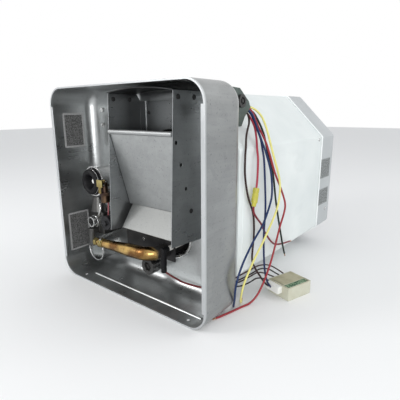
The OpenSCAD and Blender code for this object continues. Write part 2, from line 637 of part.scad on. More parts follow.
blue_a_run = [[-25.5, 92, 288], [-25.5, 110, 288], [-25.5, 122.5, 289.8], [-22.8, 132.8, 287.8],
    [-17.5, 139.2, 280.4], [-10.4, 138.9, 268.3], [-4.2, 136.7, 257.3], [2.9, 133.8, 245.5],
    [8, 130.4, 232.5], [11.5, 130, 217], [11.5, 136, 180], [11.5, 140, 141], [11.5, 138, 104],
    [12.5, 139, 68], [15.5, 138, 46], [18.5, 141, 27], [21.4, 148.1, 15]];
blue_b_run = [[-22.2, 92, 288], [-22.2, 110, 288], [-21.9, 123, 290.2], [-18.9, 131.1, 287.4],
    [-12.2, 133.8, 280], [-7.1, 133, 271], [-2.4, 131.5, 262.3], [3.6, 129.4, 251.6], [9.2, 127.5, 241.6],
    [15.5, 128, 227], [15.5, 145, 197], [15.5, 151, 166], [15.5, 145, 147], [15.5, 127, 123],
    [15.5, 99, 103], [15.5, 73, 79], [14, 60, 54], [7.5, 66, 24], [-0.5, 76, 6], [-8.5, 90, 1.8]];
black_run = [[-28.8, 92, 288], [-28.8, 110, 288], [-28.7, 126, 289.6], [-24.1, 136.9, 288.5],
    [-15.8, 142.4, 282.6], [-8.3, 142.6, 272.8], [-1.8, 141.7, 262.9], [4.2, 139.9, 252.4],
    [8.6, 138.4, 240.6], [11.5, 141, 226], [11.5, 159, 194], [11.5, 173, 148], [11.5, 190, 103],
    [11.5, 207, 62], [11.5, 214, 48]];
yellow_run = [[-27.2, 92, 290.9], [-27.2, 110, 290.9], [-27.4, 124, 292.7], [-22.6, 136.1, 291.5],
    [-13, 141.6, 287.1], [-1.4, 140.4, 278.1], [6.5, 138.4, 266.7], [12.5, 136.2, 254.9],
    [17.9, 133.2, 243.6], [23.5, 133, 227], [23.5, 157, 187], [23.5, 160, 160], [23.5, 151, 138],
    [23.5, 132, 118], [23.5, 114, 101], [22.5, 89, 78], [18.5, 73, 50], [10.5, 78, 23], [2.5, 91, 7],
    [-4.5, 105, 1.8]];
maroon_run = [[-23.8, 92, 290.9], [-23.8, 110, 290.9], [-24.2, 122.3, 293.1], [-21.1, 131.9, 291],
    [-15.3, 138.2, 283.8], [-8.5, 137.8, 272.4], [-2.3, 136.3, 261.8], [6, 133.9, 250.9],
    [13.5, 131.7, 239.6], [19.5, 132, 224], [19.5, 150, 196], [19.5, 172, 169], [19.5, 189, 143],
    [19.5, 187, 127], [19.5, 174, 106], [19.5, 164, 85], [19.5, 150, 58], [21, 129, 36], [18, 114, 16],
    [11.5, 103, 4], [5.5, 88, 1.8], [1.5, 70, 1.8], [-2.5, 55, 1.8], [-6.5, 41, 1.8]];
module loose() translate([jacket_half, front_y + hood_d - 92, 0]) children();
module lead(run) loose() sweep(smooth([for (q = run) [q[0], q[1], lead_z(q[2])]], 3), lead_d / 2, 8);
module tail(run) loose() sweep(smooth([for (q = run) q + [0, 0, joint_rise * q[2] / run[0][2]]], 3),
    lead_d / 2, 8);
module lead_brown() color([0.25, 0.14, 0.10]) lead(brown_run);
module lead_red() color([0.80, 0.12, 0.14]) {
    lead(red_run);
    tail(tail_run);
}
module lead_blue_a() color([0.16, 0.18, 0.45]) lead(blue_a_run);
module lead_blue_b() color([0.16, 0.18, 0.45]) lead(blue_b_run);
module lead_black() color([0.06, 0.08, 0.07]) lead(black_run);
module lead_yellow() color([0.93, 0.85, 0.35]) lead(yellow_run);
module lead_maroon() color([0.62, 0.12, 0.16]) lead(maroon_run);
module inline_connector() color([0.93, 0.82, 0.40]) loose() translate(joint_at + [0, 0, joint_rise])
    rotate([-13, 0, 0]) {
        rod_z(0, 0, 4.6, -22, 0);
        rod_z(0, 0, 3.4, -27, -22);
    }

// Control board lying on the floor
board_at = [39.5, 178];
tray = [43, 50, 22];
board_top = 20;
module on_board() loose() translate([board_at[0], board_at[1], 0]) rotate([0, 0, -18]) children();
module board_tray() color([0.88, 0.86, 0.74]) on_board() {
    a = tray / 2;
    difference() {
        box([-a[0], -a[1], 0], [a[0], a[1], tray[2]]);
        box([-a[0] + 2, -a[1] + 2, 2], [a[0] - 2, a[1] - 2, tray[2] + 1]);
    }
    box([-a[0] + 2, -a[1] + 2, board_top], [a[0] - 13, a[1] - 2, tray[2] - 0.5]);
}
module circuit_board() color([0.12, 0.42, 0.24]) on_board()
    box([-tray[0] / 2 + 2, -tray[1] / 2 + 2, board_top - 2], [tray[0] / 2 - 2, tray[1] / 2 - 2, board_top]);
module board_plug() color([0.95, 0.95, 0.92]) on_board() box([-18, -tray[1] / 2 - 9, 9],
    [8, -tray[1] / 2, 20]);
board_lead_runs = [
    [[-25.2, 90, 28.7], [-23.5, 100, 30], [-13.5, 112, 38], [-4.5, 130, 44], [-0.5, 150, 45], [4.5, 174, 38],
        [13.5, 192, 25], [24, 199.8, 15]],
    [[-21.8, 90, 28.7], [-19.5, 100, 28.5], [-9.5, 111, 34], [-1.5, 128, 39], [1.5, 148, 40], [5.5, 168, 34],
        [12.5, 183, 23], [21.5, 192.2, 14.5]],
    [[-25.2, 90, 25.3], [-23, 100, 24.5], [-12.5, 112, 28], [-4.5, 127, 33], [-1.5, 144, 34], [2.5, 160, 29],
        [9.5, 175, 20], [19.1, 184.6, 13.5]],
    [[-21.8, 90, 25.3], [-18.5, 100, 22], [-8.5, 110, 23], [-1.5, 123, 26], [0.5, 138, 27], [3.5, 152, 23],
        [8.5, 167, 15], [16.6, 177, 11]]];
module board_leads() color([0.22, 0.10, 0.09]) loose()
    for (run = board_lead_runs) sweep(smooth(run, 4), 1.1, 8);

control_pan();
jacket_wrap();
rear_cap();
insulation();
tank_shell();
tank_front_head();
tank_rear_head();
combustion_tube();
flue_wrap();
flue_top();
flue_baffle();
flue_deflector();
flue_rivets();
burner_head();
mixing_tube();
air_shutter();
shutter_screw();
gas_spud();
burner_bracket();
igniter();
igniter_boot();
igniter_lead();
gas_valve();
gas_inlet();
solenoid();
valve_tube();
valve_lead();
limit_collar();
limit_switch();
limit_boot();
reset_button();
relief_valve();
relief_pin();
relief_lever();
relief_stem();
relief_spring();
entry_sleeve();
drain_boss();
drain_plug();
anode_rod();
wall_plates();
cap_stickers();
screws();
water_fittings();
wiring_gusset();
gusset_bushing();
lead_grommets();
lead_brown();
lead_red();
lead_blue_a();
lead_blue_b();
lead_black();
lead_yellow();
lead_maroon();
inline_connector();
board_tray();
circuit_board();
board_plug();
board_leads();
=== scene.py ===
# %% [markdown]
# # A caravan water heater
# The real object is a steel tank in an insulated jacket. A square pan of drawn sheet steel closes its
# front and holds the burner, the flue box and the controls. The packed model already has every piece at
# its real size, so this lesson only gives the pieces their surfaces: it loads the model as a fixed frame,
# and every length below is read from that frame or counted from it. Blender works in metres, and MM turns
# a maker's millimetres into them.

# %% Load the frame
import json
import math

import bmesh
import bpy
import numpy as np
from mathutils import Matrix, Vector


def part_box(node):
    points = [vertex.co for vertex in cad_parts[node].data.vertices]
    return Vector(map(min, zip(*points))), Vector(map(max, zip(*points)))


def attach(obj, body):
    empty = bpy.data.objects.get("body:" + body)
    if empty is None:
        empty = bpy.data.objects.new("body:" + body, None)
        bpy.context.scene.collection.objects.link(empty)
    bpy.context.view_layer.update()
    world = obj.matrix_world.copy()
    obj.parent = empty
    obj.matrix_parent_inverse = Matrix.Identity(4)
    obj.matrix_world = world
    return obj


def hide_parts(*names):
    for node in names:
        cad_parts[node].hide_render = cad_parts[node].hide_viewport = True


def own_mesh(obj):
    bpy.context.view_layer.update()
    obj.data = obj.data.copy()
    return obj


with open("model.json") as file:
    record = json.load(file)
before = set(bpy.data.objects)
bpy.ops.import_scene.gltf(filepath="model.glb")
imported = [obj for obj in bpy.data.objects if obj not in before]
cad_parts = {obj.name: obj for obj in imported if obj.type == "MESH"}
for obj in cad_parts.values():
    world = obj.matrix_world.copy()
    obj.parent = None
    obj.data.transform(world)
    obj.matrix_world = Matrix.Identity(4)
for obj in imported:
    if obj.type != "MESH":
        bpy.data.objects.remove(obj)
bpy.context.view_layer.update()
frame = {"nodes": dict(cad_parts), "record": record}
MM = 0.001
ROOT = "heater"
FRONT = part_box("control_pan")[0][1]


def at_front(x, depth, z):
    """A point counted in millimetres: x to the right, depth behind the front plane, z up."""
    return np.array([x, depth, z]) * MM + [0, FRONT, 0]


print("nodes:", len(frame["nodes"]), "front plane at", round(FRONT, 4))

# %% [markdown]
# ## Camera
# A camera is a place, a direction and a focal length. All three were fitted to the corners of the pan,
# whose size is known, so that the picture can be laid over the photograph. The focal length is kept in
# pixels of the 400-pixel picture and turned into millimetres of a 36 mm sensor.

# %% Camera
PICTURE = 400
FOCAL_PIXELS = 360.5
SENSOR = 36.0
YAW, PITCH, ROLL = np.radians([38.64, 13.84, -0.34])
EYE = at_front(414.9, -326.4, 284.8)

ahead = np.array([-math.sin(YAW) * math.cos(PITCH), math.cos(YAW) * math.cos(PITCH), -math.sin(PITCH)])
level = np.array([math.cos(YAW), math.sin(YAW), 0.0])
across = level * math.cos(ROLL) + np.cross(level, ahead) * math.sin(ROLL)
lens = bpy.data.cameras.new("camera")
lens.sensor_width = SENSOR
lens.lens = SENSOR * FOCAL_PIXELS / PICTURE
camera = bpy.data.objects.new("camera", lens)
bpy.context.scene.collection.objects.link(camera)
turn = np.column_stack([across, np.cross(across, ahead), -ahead])
camera.matrix_world = Matrix.Translation(EYE) @ Matrix(turn).to_4x4()
bpy.context.scene.camera = camera
print("lens:", round(lens.lens, 2), "mm")

# %% [markdown]
# ## From arrays to meshes
# A surface here is a grid of points: rows along one parameter, columns along another. numpy works out
# all points at once, and only the finished arrays go into Blender. The grid may close on itself in
# either direction, as a tube does around its axis, and an open end can be closed with one flat face.

# %% Grids
CREASE = 40


def quads(rows, columns, close_rows=False):
    """Corner numbers of the faces between neighbouring grid points, as an (n, 4) array."""
    i = np.arange(rows if close_rows else rows - 1)[:, None]
    j = np.arange(columns)[None, :]
    below, beside = (i + 1) % rows, (j + 1) % columns
    corners = [i * columns + j, i * columns + beside, below * columns + beside, below * columns + j]
    return np.stack([np.broadcast_to(c, (i.size, j.size)).ravel() for c in corners], axis=1)


def put_mesh(name, points, faces, crease=CREASE):
    """A closed mesh at the origin, facing outwards, smooth but at edges sharper than crease degrees."""
    mesh = bpy.data.meshes.new(name)
    mesh.from_pydata(np.asarray(points, float).reshape(-1, 3).tolist(), [], faces)
    work = bmesh.new()
    work.from_mesh(mesh)
    bmesh.ops.recalc_face_normals(work, faces=work.faces)
    work.to_mesh(mesh)
    work.free()
    mesh.shade_smooth()
    mesh.set_sharp_from_angle(angle=math.radians(crease))
    piece = bpy.data.objects.new(name, mesh)
    bpy.context.scene.collection.objects.link(piece)
    return piece


def put_grid(name, points, ring=False, crease=CREASE):
    """points[row, column] -> a mesh. A ring joins its last row to its first; else both ends are closed."""
    rows, columns = points.shape[:2]
    faces = quads(rows, columns, ring).tolist()
    if not ring:
        faces.append(list(range(columns))[::-1])
        faces.append(list(range((rows - 1) * columns, rows * columns)))
    return put_mesh(name, points, faces, crease)


print("faces between 3 rows of 4 points:", len(quads(3, 4)))

# %% [markdown]
# Two shapes cover most of the new pieces: a tube along a path and a turned piece about an axis. Blender's
# curves and its Screw modifier could make both. Arrays are used because every ring of points is then
# known, so that a length can be measured on them and a face can be given its own material.

# %% Tubes and turned pieces
# An axis counts as upright when its height is more than this share of its length
UPRIGHT = 0.9


def carried_frames(path):
    """Tangents by central differences; a normal carried along the path and kept square to them."""
    tangent = np.gradient(path, axis=0)
    tangent /= np.linalg.norm(tangent, axis=1, keepdims=True)
    normal = np.empty_like(path)
    carried = np.array([1.0, 0, 0]) if abs(tangent[0, 2]) > UPRIGHT else np.array([0, 0, 1.0])
    for i, along in enumerate(tangent):
        carried = carried - along * (carried @ along)
        carried = carried / np.linalg.norm(carried)
        normal[i] = carried
    return tangent, normal, np.cross(tangent, normal)


def tube(name, path, radius, sides=14):
    """Point (s, a) = path(s) + radius * (cos a * normal + sin a * binormal)."""
    _, normal, side = carried_frames(path)
    a = np.linspace(0, 2 * np.pi, sides, endpoint=False)[None, :, None]
    circle = np.cos(a) * normal[:, None] + np.sin(a) * side[:, None]
    return put_grid(name, path[:, None] + radius * circle)


def turned(name, profile, centre, axis, sides=64, ring=False):
    """Point (row, a) = centre + r * (cos a * u + sin a * v) + h * axis. The profile's rows are (r, h) in
    millimetres, and u, v and the axis are square to one another."""
    axis = np.asarray(axis, float) / np.linalg.norm(axis)
    u = np.cross([0, 0, 1.0] if abs(axis[2]) < UPRIGHT else [1.0, 0, 0], axis)
    u /= np.linalg.norm(u)
    r, h = np.asarray(profile, float).T[:, :, None, None] * MM
    a = np.linspace(0, 2 * np.pi, sides, endpoint=False)[None, :, None]
    points = np.asarray(centre) + r * (np.cos(a) * u + np.sin(a) * np.cross(axis, u)) + h * axis
    return put_grid(name, points, ring)


along_line, square_to_it, _ = carried_frames(np.linspace([0.0, 0, 0], [1, 2, 3], 5))
print("a carried normal leans on its path by", round(abs(float((along_line * square_to_it).sum())), 6))

# %% [markdown]
# Folded sheet has no sharp corners, and a wire has no kinks. Corners are therefore bent round with arcs,
# and a route of a few points is run through with a curve that passes every one of them. Blender's own
# curves would need their handles set by hand.

# %% Rounded outlines and smooth runs
def rounded_loop(corners, radius, arc=7):
    """A polygon, counted anticlockwise, with an arc at each corner. A corner that turns by t has its
    centre radius / cos(t / 2) from the point, along the line that halves the corner."""
    p = np.asarray(corners, float)
    back, on = np.roll(p, 1, axis=0) - p, np.roll(p, -1, axis=0) - p
    back /= np.linalg.norm(back, axis=1, keepdims=True)
    on /= np.linalg.norm(on, axis=1, keepdims=True)
    inward = (back + on) / np.linalg.norm(back + on, axis=1, keepdims=True)
    half_turn = np.pi / 2 - np.arccos(np.clip((back * inward).sum(axis=1), -1, 1))
    centre = p + inward * (radius / np.cos(half_turn))[:, None]
    a = half_turn[:, None] * np.linspace(-1, 1, arc)
    out, along = -inward[:, None], np.stack([inward[:, 1], -inward[:, 0]], axis=1)[:, None]
    arcs = np.cos(a)[..., None] * out + np.sin(a)[..., None] * along
    return (centre[:, None] + radius * arcs).reshape(-1, 2)


def smooth_run(points, steps=8):
    """A curve that passes every point. Between b and c, with neighbours a and d, it is half of
    2b + (c - a)t + (2a - 5b + 4c - d)t^2 + (3b - a - 3c + d)t^3."""
    points = np.asarray(points, float)
    p = np.vstack([points[:1], points, points[-1:]])
    a, b, c, d = p[:-3, None], p[1:-2, None], p[2:-1, None], p[3:, None]
    t = (np.arange(steps) / steps)[None, :, None]
    curve = (2 * b + (c - a) * t + (2 * a - 5 * b + 4 * c - d) * t**2 + (3 * b - a - 3 * c + d) * t**3) / 2
    return np.vstack([curve.reshape(-1, points.shape[1]), points[-1:]])


print("points round a rounded square:", len(rounded_loop([(0, 0), (9, 0), (9, 9), (0, 9)], 2)))

# %% [markdown]
# ## Rounded copies
# Most rigid pieces already have the right shape. What a packed solid lacks is the tiny radius on every
# edge, which is what catches the light on real metal. Drawing the solids again with fillets would be
# long, so each is copied and cleaned: its doubled corners are merged and its flat triangles joined. A
# Bevel modifier then rounds the edges, and weighted normals keep the wide faces flat in the light.

# %% Standing for packed nodes
BODIES = frame["record"]["behaviour"]["bodies"]
NODE_BODY = {node: body for body, nodes in BODIES.items() for node in nodes}
THIN, SMALL, SOFT = 0.25 * MM, 0.4 * MM, 0.8 * MM
DOUBLED, FLAT_ANGLE, EDGE_ANGLE = 0.002 * MM, math.radians(0.6), math.radians(32)
PIECES = {}


def stand_for(piece, node):
    """The piece takes the place and the body of this node, and is listed under it to get the node's finish.
    """
    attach(piece, NODE_BODY[node])
    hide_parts(node)
    PIECES.setdefault(node, []).append(piece)
    return piece


def rounded_copy(node, edge=SMALL):
    """A copy of a packed node with its edges rounded by edge metres, or only marked sharp if edge is 0."""
    mesh = frame["nodes"][node].data.copy()
    mesh.name = node + "_finished"
    work = bmesh.new()
    work.from_mesh(mesh)
    bmesh.ops.remove_doubles(work, verts=work.verts, dist=DOUBLED)
    bmesh.ops.dissolve_limit(work, angle_limit=FLAT_ANGLE, verts=work.verts, edges=work.edges)
    work.to_mesh(mesh)
    work.free()
    mesh.materials.clear()
    mesh.shade_smooth()
    piece = bpy.data.objects.new(mesh.name, mesh)
    bpy.context.scene.collection.objects.link(piece)
    if edge:
        bevel = piece.modifiers.new("edges", "BEVEL")
        bevel.width, bevel.segments = edge, 2
        bevel.limit_method, bevel.angle_limit = "ANGLE", EDGE_ANGLE
        bevel.use_clamp_overlap = False
        flat = piece.modifiers.new("flat_faces", "WEIGHTED_NORMAL")
        flat.mode, flat.weight, flat.keep_sharp = "FACE_AREA", 100, True
    else:
        mesh.set_sharp_from_angle(angle=EDGE_ANGLE)
    return stand_for(piece, node)


# %% [markdown]
# ## Loose leads
# Seven leads leave the casing behind a small gusset plate, hang down the jacket's side and end bare, in a
# crimped joint or in the control board's plug. A lead could be a bevelled curve, but a tube of known
# rings lets its length be measured, and its stripped strands can start exactly at its end. The points
# are the route of the packed leads, counted from the jacket's right side, the front plane and the floor.

# %% Lead routes
LOOSE = np.array([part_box("jacket_wrap")[1][0], FRONT, 0.0])
LEAD_D, BOARD_LEAD_D = 3 * MM, 2.2 * MM
ROUTES = {
    "lead_brown": [
        (-23.8, 92, 285.1), (-23.8, 110, 285.1), (-23.3, 123.7, 287), (-21.1, 130.8, 284.4),
        (-17.5, 132.9, 276.8), (-13.8, 128.4, 267.7), (-9.8, 118.1, 258.8), (-4.8, 107.1, 249.5),
        (1.3, 96.8, 237.4), (3.5, 92, 223), (3.5, 93, 198), (3.5, 102, 168), (3.5, 118, 138),
        (3.5, 122, 106), (4.5, 117, 70), (6.5, 122, 54), (9.5, 133, 37), (13.5, 143, 22), (16.6, 149.7, 15)],
    "lead_red": [
        (-27.2, 92, 285.1), (-27.2, 110, 285.1), (-26.6, 126.5, 286.6), (-23.9, 133.6, 284.1),
        (-18.5, 136.8, 277.3), (-10.6, 135.1, 266.9), (-4.5, 131.2, 256.9), (0.3, 126.8, 244.9),
        (4.1, 122.6, 232), (7.5, 120, 218), (7.5, 120, 192), (7.5, 118, 178)],
    "lead_tail": [
        (7.5, 112, 151.7), (7.5, 112.5, 143), (7.5, 121, 133), (7.5, 136, 119), (7.5, 152, 99),
        (7.5, 178, 76), (7.5, 204, 67), (7.5, 241, 61)],
    "lead_blue_a": [
        (-25.5, 92, 288), (-25.5, 110, 288), (-25.5, 122.5, 289.8), (-22.8, 132.8, 287.8),
        (-17.5, 139.2, 280.4), (-10.4, 138.9, 268.3), (-4.2, 136.7, 257.3), (2.9, 133.8, 245.5),
        (8, 130.4, 232.5), (11.5, 130, 217), (11.5, 136, 180), (11.5, 140, 141), (11.5, 138, 104),
        (12.5, 139, 68), (15.5, 138, 46), (18.5, 141, 27), (21.4, 148.1, 15)],
    "lead_blue_b": [
        (-22.2, 92, 288), (-22.2, 110, 288), (-21.9, 123, 290.2), (-18.9, 131.1, 287.4), (-12.2, 133.8, 280),
        (-7.1, 133, 271), (-2.4, 131.5, 262.3), (3.6, 129.4, 251.6), (9.2, 127.5, 241.6), (15.5, 128, 227),
        (15.5, 145, 197), (15.5, 151, 166), (15.5, 145, 147), (15.5, 127, 123), (15.5, 99, 103),
        (15.5, 73, 79), (14, 60, 54), (7.5, 66, 24), (-0.5, 76, 6), (-8.5, 90, 1.8)],
    "lead_black": [
        (-28.8, 92, 288), (-28.8, 110, 288), (-28.7, 126, 289.6), (-24.1, 136.9, 288.5),
        (-15.8, 142.4, 282.6), (-8.3, 142.6, 272.8), (-1.8, 141.7, 262.9), (4.2, 139.9, 252.4),
        (8.6, 138.4, 240.6), (11.5, 141, 226), (11.5, 159, 194), (11.5, 173, 148), (11.5, 190, 103),
        (11.5, 207, 62), (11.5, 214, 48)],
    "lead_yellow": [
        (-27.2, 92, 290.9), (-27.2, 110, 290.9), (-27.4, 124, 292.7), (-22.6, 136.1, 291.5),
        (-13, 141.6, 287.1), (-1.4, 140.4, 278.1), (6.5, 138.4, 266.7), (12.5, 136.2, 254.9),
        (17.9, 133.2, 243.6), (23.5, 133, 227), (23.5, 157, 187), (23.5, 160, 160), (23.5, 151, 138),
        (23.5, 132, 118), (23.5, 114, 101), (22.5, 89, 78), (18.5, 73, 50), (10.5, 78, 23), (2.5, 91, 7),
        (-4.5, 105, 1.8)],
    "lead_maroon": [
        (-23.8, 92, 290.9), (-23.8, 110, 290.9), (-24.2, 122.3, 293.1), (-21.1, 131.9, 291),
        (-15.3, 138.2, 283.8), (-8.5, 137.8, 272.4), (-2.3, 136.3, 261.8), (6, 133.9, 250.9),
        (13.5, 131.7, 239.6), (19.5, 132, 224), (19.5, 150, 196), (19.5, 172, 169), (19.5, 189, 143),
        (19.5, 187, 127), (19.5, 174, 106), (19.5, 164, 85), (19.5, 150, 58), (21, 129, 36), (18, 114, 16),
        (11.5, 103, 4), (5.5, 88, 1.8), (1.5, 70, 1.8), (-2.5, 55, 1.8), (-6.5, 41, 1.8)],
}
BOARD_ROUTES = [
    [(-25.2, 90, 28.7), (-23.5, 100, 30), (-13.5, 112, 38), (-4.5, 130, 44), (-0.5, 150, 45), (4.5, 174, 38),
     (13.5, 192, 25), (24, 199.8, 15)],
    [(-21.8, 90, 28.7), (-19.5, 100, 28.5), (-9.5, 111, 34), (-1.5, 128, 39), (1.5, 148, 40), (5.5, 168, 34),
     (12.5, 183, 23), (21.5, 192.2, 14.5)],
    [(-25.2, 90, 25.3), (-23, 100, 24.5), (-12.5, 112, 28), (-4.5, 127, 33), (-1.5, 144, 34), (2.5, 160, 29),
     (9.5, 175, 20), (19.1, 184.6, 13.5)],
    [(-21.8, 90, 25.3), (-18.5, 100, 22), (-8.5, 110, 23), (-1.5, 123, 26), (0.5, 138, 27), (3.5, 152, 23),
     (8.5, 167, 15), (16.6, 177, 11)],
]
print("routes:", len(ROUTES), "loose and", len(BOARD_ROUTES), "from the board")

# %% [markdown]
# The pieces that leads end in are made first: the board's tray and plug as rounded copies, and the
# tilted joint between the red lead and its tail as a turned sleeve with a waist and a crimped neck. It is
# round all along, so turning gives it its soft shoulders without any modelling by hand.

# %% What the leads end in
rounded_copy("board_tray", SOFT)
plug = rounded_copy("board_plug", SMALL)
TILT = math.radians(13)
sleeve_profile = [
    (2.0, 0), (3.8, 0), (4.4, 0.4), (4.6, 1.2), (4.6, 6.4), (4.15, 7.2), (4.15, 8.4), (4.6, 9.2),
    (4.6, 20.6), (4.3, 21.6), (3.7, 22), (3.4, 22.6), (3.4, 23.8), (3.05, 24.2), (3.05, 24.9), (3.4, 25.3),
    (3.4, 26.4), (2.9, 27), (1.6, 27)]
sleeve_top = LOOSE + np.array(ROUTES["lead_red"][-1]) * MM
sleeve_axis = (0, -math.sin(TILT), -math.cos(TILT))
joint_sleeve = turned("joint_sleeve", sleeve_profile, sleeve_top, sleeve_axis, sides=40)
stand_for(joint_sleeve, "inline_connector")
ENDS = {"lead_brown": plug, "lead_blue_a": plug, "lead_red": joint_sleeve}
print("leads that end in a piece:", ", ".join(ENDS))

# %% [markdown]
# A lead that ends in nothing was cut and stripped, and a fan of fine copper strands shows at its end. Hair
# curves could stand for them, but seven thin tubes in one mesh are enough: one goes straight on, and the
# others lean out a little.

# %% Bare strands
STRAND_R, STRAND_FAN = 0.27 * MM, 0.55 * MM
RINGS, SIDES = 4, 6
NEAR_FLOOR = 4 * MM


def strands(name, path, length=6 * MM, count=7):
    """Strand k, point t = end + t * length * tangent + (1 + 0.6 t) * fan * (cos k * normal + sin k * side),
    with no fan for the first. Where the lead lies on the floor, the strands run level."""
    tangent, normal, side = (axis[-1] for axis in carried_frames(path))
    if path[-1, 2] < NEAR_FLOOR:
        tangent = tangent * [1, 1, 0] / np.linalg.norm(tangent[:2])
    angle = np.linspace(0, 2 * np.pi, count, endpoint=False)[:, None, None]
    fan = np.where(np.arange(count) == 0, 0.0, STRAND_FAN)[:, None, None]
    t = np.linspace(-0.2, 1, RINGS)[None, :, None]
    lean = (np.cos(angle) * normal + np.sin(angle) * side) * fan * (1 + 0.6 * t)
    line = path[-1] + tangent * length * t + lean
    a = np.linspace(0, 2 * np.pi, SIDES, endpoint=False)[None, None, :, None]
    points = line[:, :, None] + STRAND_R * (np.cos(a) * normal + np.sin(a) * side)
    first = np.arange(count)[:, None] * RINGS * SIDES
    ring = np.arange(SIDES)
    faces = (quads(RINGS, SIDES)[None] + first[:, :, None]).reshape(-1, 4).tolist()
    faces += (first + ring[::-1]).tolist()
    faces += (first + ring + (RINGS - 1) * SIDES).tolist()
    piece = put_mesh(name, points, faces)
    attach(piece, ROOT)
    return piece


print("a strand is", round(2 * STRAND_R / MM, 2), "mm thick")

# %% [markdown]
# A lead is one tube along its route. It could hang as a simulated rope, but every bend of these leads is
# known, so the route is given and only smoothed. The red lead and its tail stand for one packed node.

LEADS = {}
BARE_ENDS = []


def lay_lead(name, points, diameter, node, end=None, origin=LOOSE, inside=False):
    """One lead as a tube along its smoothed route. It ends in the piece end, runs into another piece of the
    object if inside, and is stripped otherwise."""
    path = smooth_run(np.array(points, float) * MM + origin)
    piece = LEADS[name] = stand_for(tube("cord_" + name, path, diameter / 2), node)
    if not inside and end is None:
        end = strands(f"cord_{name}_strands", path)
        BARE_ENDS.append(end)
    far_end = "object" if inside else "bare" if end in BARE_ENDS else "connector"


for lead_name, route in ROUTES.items():
    own_node = "lead_red" if lead_name == "lead_tail" else lead_name
    lay_lead(lead_name.removeprefix("lead_"), route, LEAD_D, own_node, ENDS.get(lead_name))
for number, route in enumerate(BOARD_ROUTES):
    lay_lead(f"board_{number}", route, BOARD_LEAD_D, "board_leads", inside=True)

# %% [markdown]
# ## Leads inside the pan
# Two short leads stay inside the pan: one from the spark electrode's boot to a grommet in the back wall,
# and one from the gas valve's coil. Both ends go into the object, so they need no stripped ends, and the
# same function lays them from origins of their own.

# %% Leads inside the pan
SPARK_LEAD_D, COIL_LEAD_D = 3.2 * MM, 2.4 * MM
SPARK_BOOT, COIL_AXIS = at_front(44, 0, 75.7), at_front(-87, 0, 0)
spark_route = [
    (1, 46, -33.7), (5, 47, -36.2), (11, 50, -40.2), (18, 56, -46.2), (26, 62.5, -52.2), (44, 69, -55.1),
    (61, 73, -54.8), (75, 77, -52.7), (88, 80, -48.7)]
lay_lead("igniter", spark_route, SPARK_LEAD_D, "igniter_lead", origin=SPARK_BOOT, inside=True)
coil_route = [
    (-1, 46, 109), (1, 45.5, 118), (1.5, 46, 128), (-1.5, 49, 137), (-4, 57, 142), (-5, 68, 141),
    (-5, 79, 138)]
lay_lead("valve", coil_route, COIL_LEAD_D, "valve_lead", origin=COIL_AXIS, inside=True)

# %% [markdown]
# ## Jacket and rear cap
# The jacket is one sheet bent into an octagon, and the rear cap is a deeper-drawn octagon over its end.
# A cylinder with eight sides would have equal sides and sharp corners, which these have not. So both are
# stacks of outlines, one row for each depth. The wrap joins its last row to its first, and the cap runs
# from the middle of its inside, round its front edge, to the middle of its back.

# %% Octagon outlines
JACKET_HALF, CORE_Z = 155.5, 157.0
TOP_CHAMFER, LOW_CHAMFER_X, LOW_CHAMFER_Z = 78, 74, 50
TOP_WIDEN, LOW_WIDEN = 0.586, 0.5
BEND, LEAST_BEND = 6.0, 3.0
SHEET_CREASE = 30


def octagon(half):
    """The outline at a half width, in millimetres: each chamfer widens as the outline grows, so that all
    eight sides move out together, and the bend's radius grows by as much as the half width."""
    grow, h = half - JACKET_HALF, half
    u = TOP_CHAMFER + TOP_WIDEN * grow
    x, z = LOW_CHAMFER_X + LOW_WIDEN * grow, LOW_CHAMFER_Z + LOW_WIDEN * grow
    corners = [(x - h, -h), (h - x, -h), (h, z - h), (h, h - u), (h - u, h), (u - h, h), (-h, h - u),
               (-h, z - h)]
    return rounded_loop(corners, max(LEAST_BEND, BEND + grow))


def octagon_stack(name, rows, node, ring=False):
    """Point (row, a) = share * outline(a) at that row's depth; rows are (half width, depth, share) in
    millimetres. What would sink into the floor is pressed flat on it."""
    outlines = np.stack([octagon(half) * share for half, _, share in rows])
    depth = np.array([d for _, d, _ in rows])[:, None]
    x, z = outlines[..., 0], np.maximum(outlines[..., 1] + CORE_Z, 0)
    points = np.stack(np.broadcast_arrays(x, depth, z), axis=-1) * MM + [0, FRONT, 0]
    return stand_for(put_grid(name, points, ring, crease=SHEET_CREASE), node)


print("points in an outline:", len(octagon(JACKET_HALF)))

# %% [markdown]
# The wrap starts with a flange behind the pan and has a narrow pressed groove just after it. The cap
# starts with a rolled lip, whose faces take a near-white paint as a painted highlight, and its back is drawn
# in over a bevel with two soft folds. Bump could fake the groove and the lip, but both show in the outline,
# so they are rows.

# %% Jacket and rear cap
WRAP_HOLE, WRAP_FRONT, FLANGE_BACK, WRAP_END = 138, 83.7, 84.2, 390
WRAP_IN, GROOVE_HALF = JACKET_HALF - 1.0, JACKET_HALF - 0.5
wrap_line = [(WRAP_HOLE, WRAP_FRONT), (155.2, WRAP_FRONT), (JACKET_HALF, 84), (JACKET_HALF, 93.6),
             (GROOVE_HALF, 94.1), (GROOVE_HALF, 95.1)]
wrap_line += [(JACKET_HALF, d) for d in (95.6, 150, 230, 310, WRAP_END)]
wrap_line += [(WRAP_IN, WRAP_END), (WRAP_IN, FLANGE_BACK), (WRAP_HOLE, FLANGE_BACK)]
octagon_stack("jacket_skin", [(half, d, 1) for half, d in wrap_line], "jacket_wrap", ring=True)

CAP_HALF, CAP_BACK, CAP_BEVEL, FOLD = 157.0, 466.0, 20.0, 4.0
MIDDLE_SHARE = 0.02
reach = FOLD * math.tan(math.pi / 8)
eighth = np.linspace(0, np.pi / 4, 5)


def fold(half, depth, angles):
    """The arc of a fold about a middle: (half, depth) + FOLD * (cos a, sin a)."""
    return [(half + FOLD * math.cos(a), depth + FOLD * math.sin(a)) for a in angles]


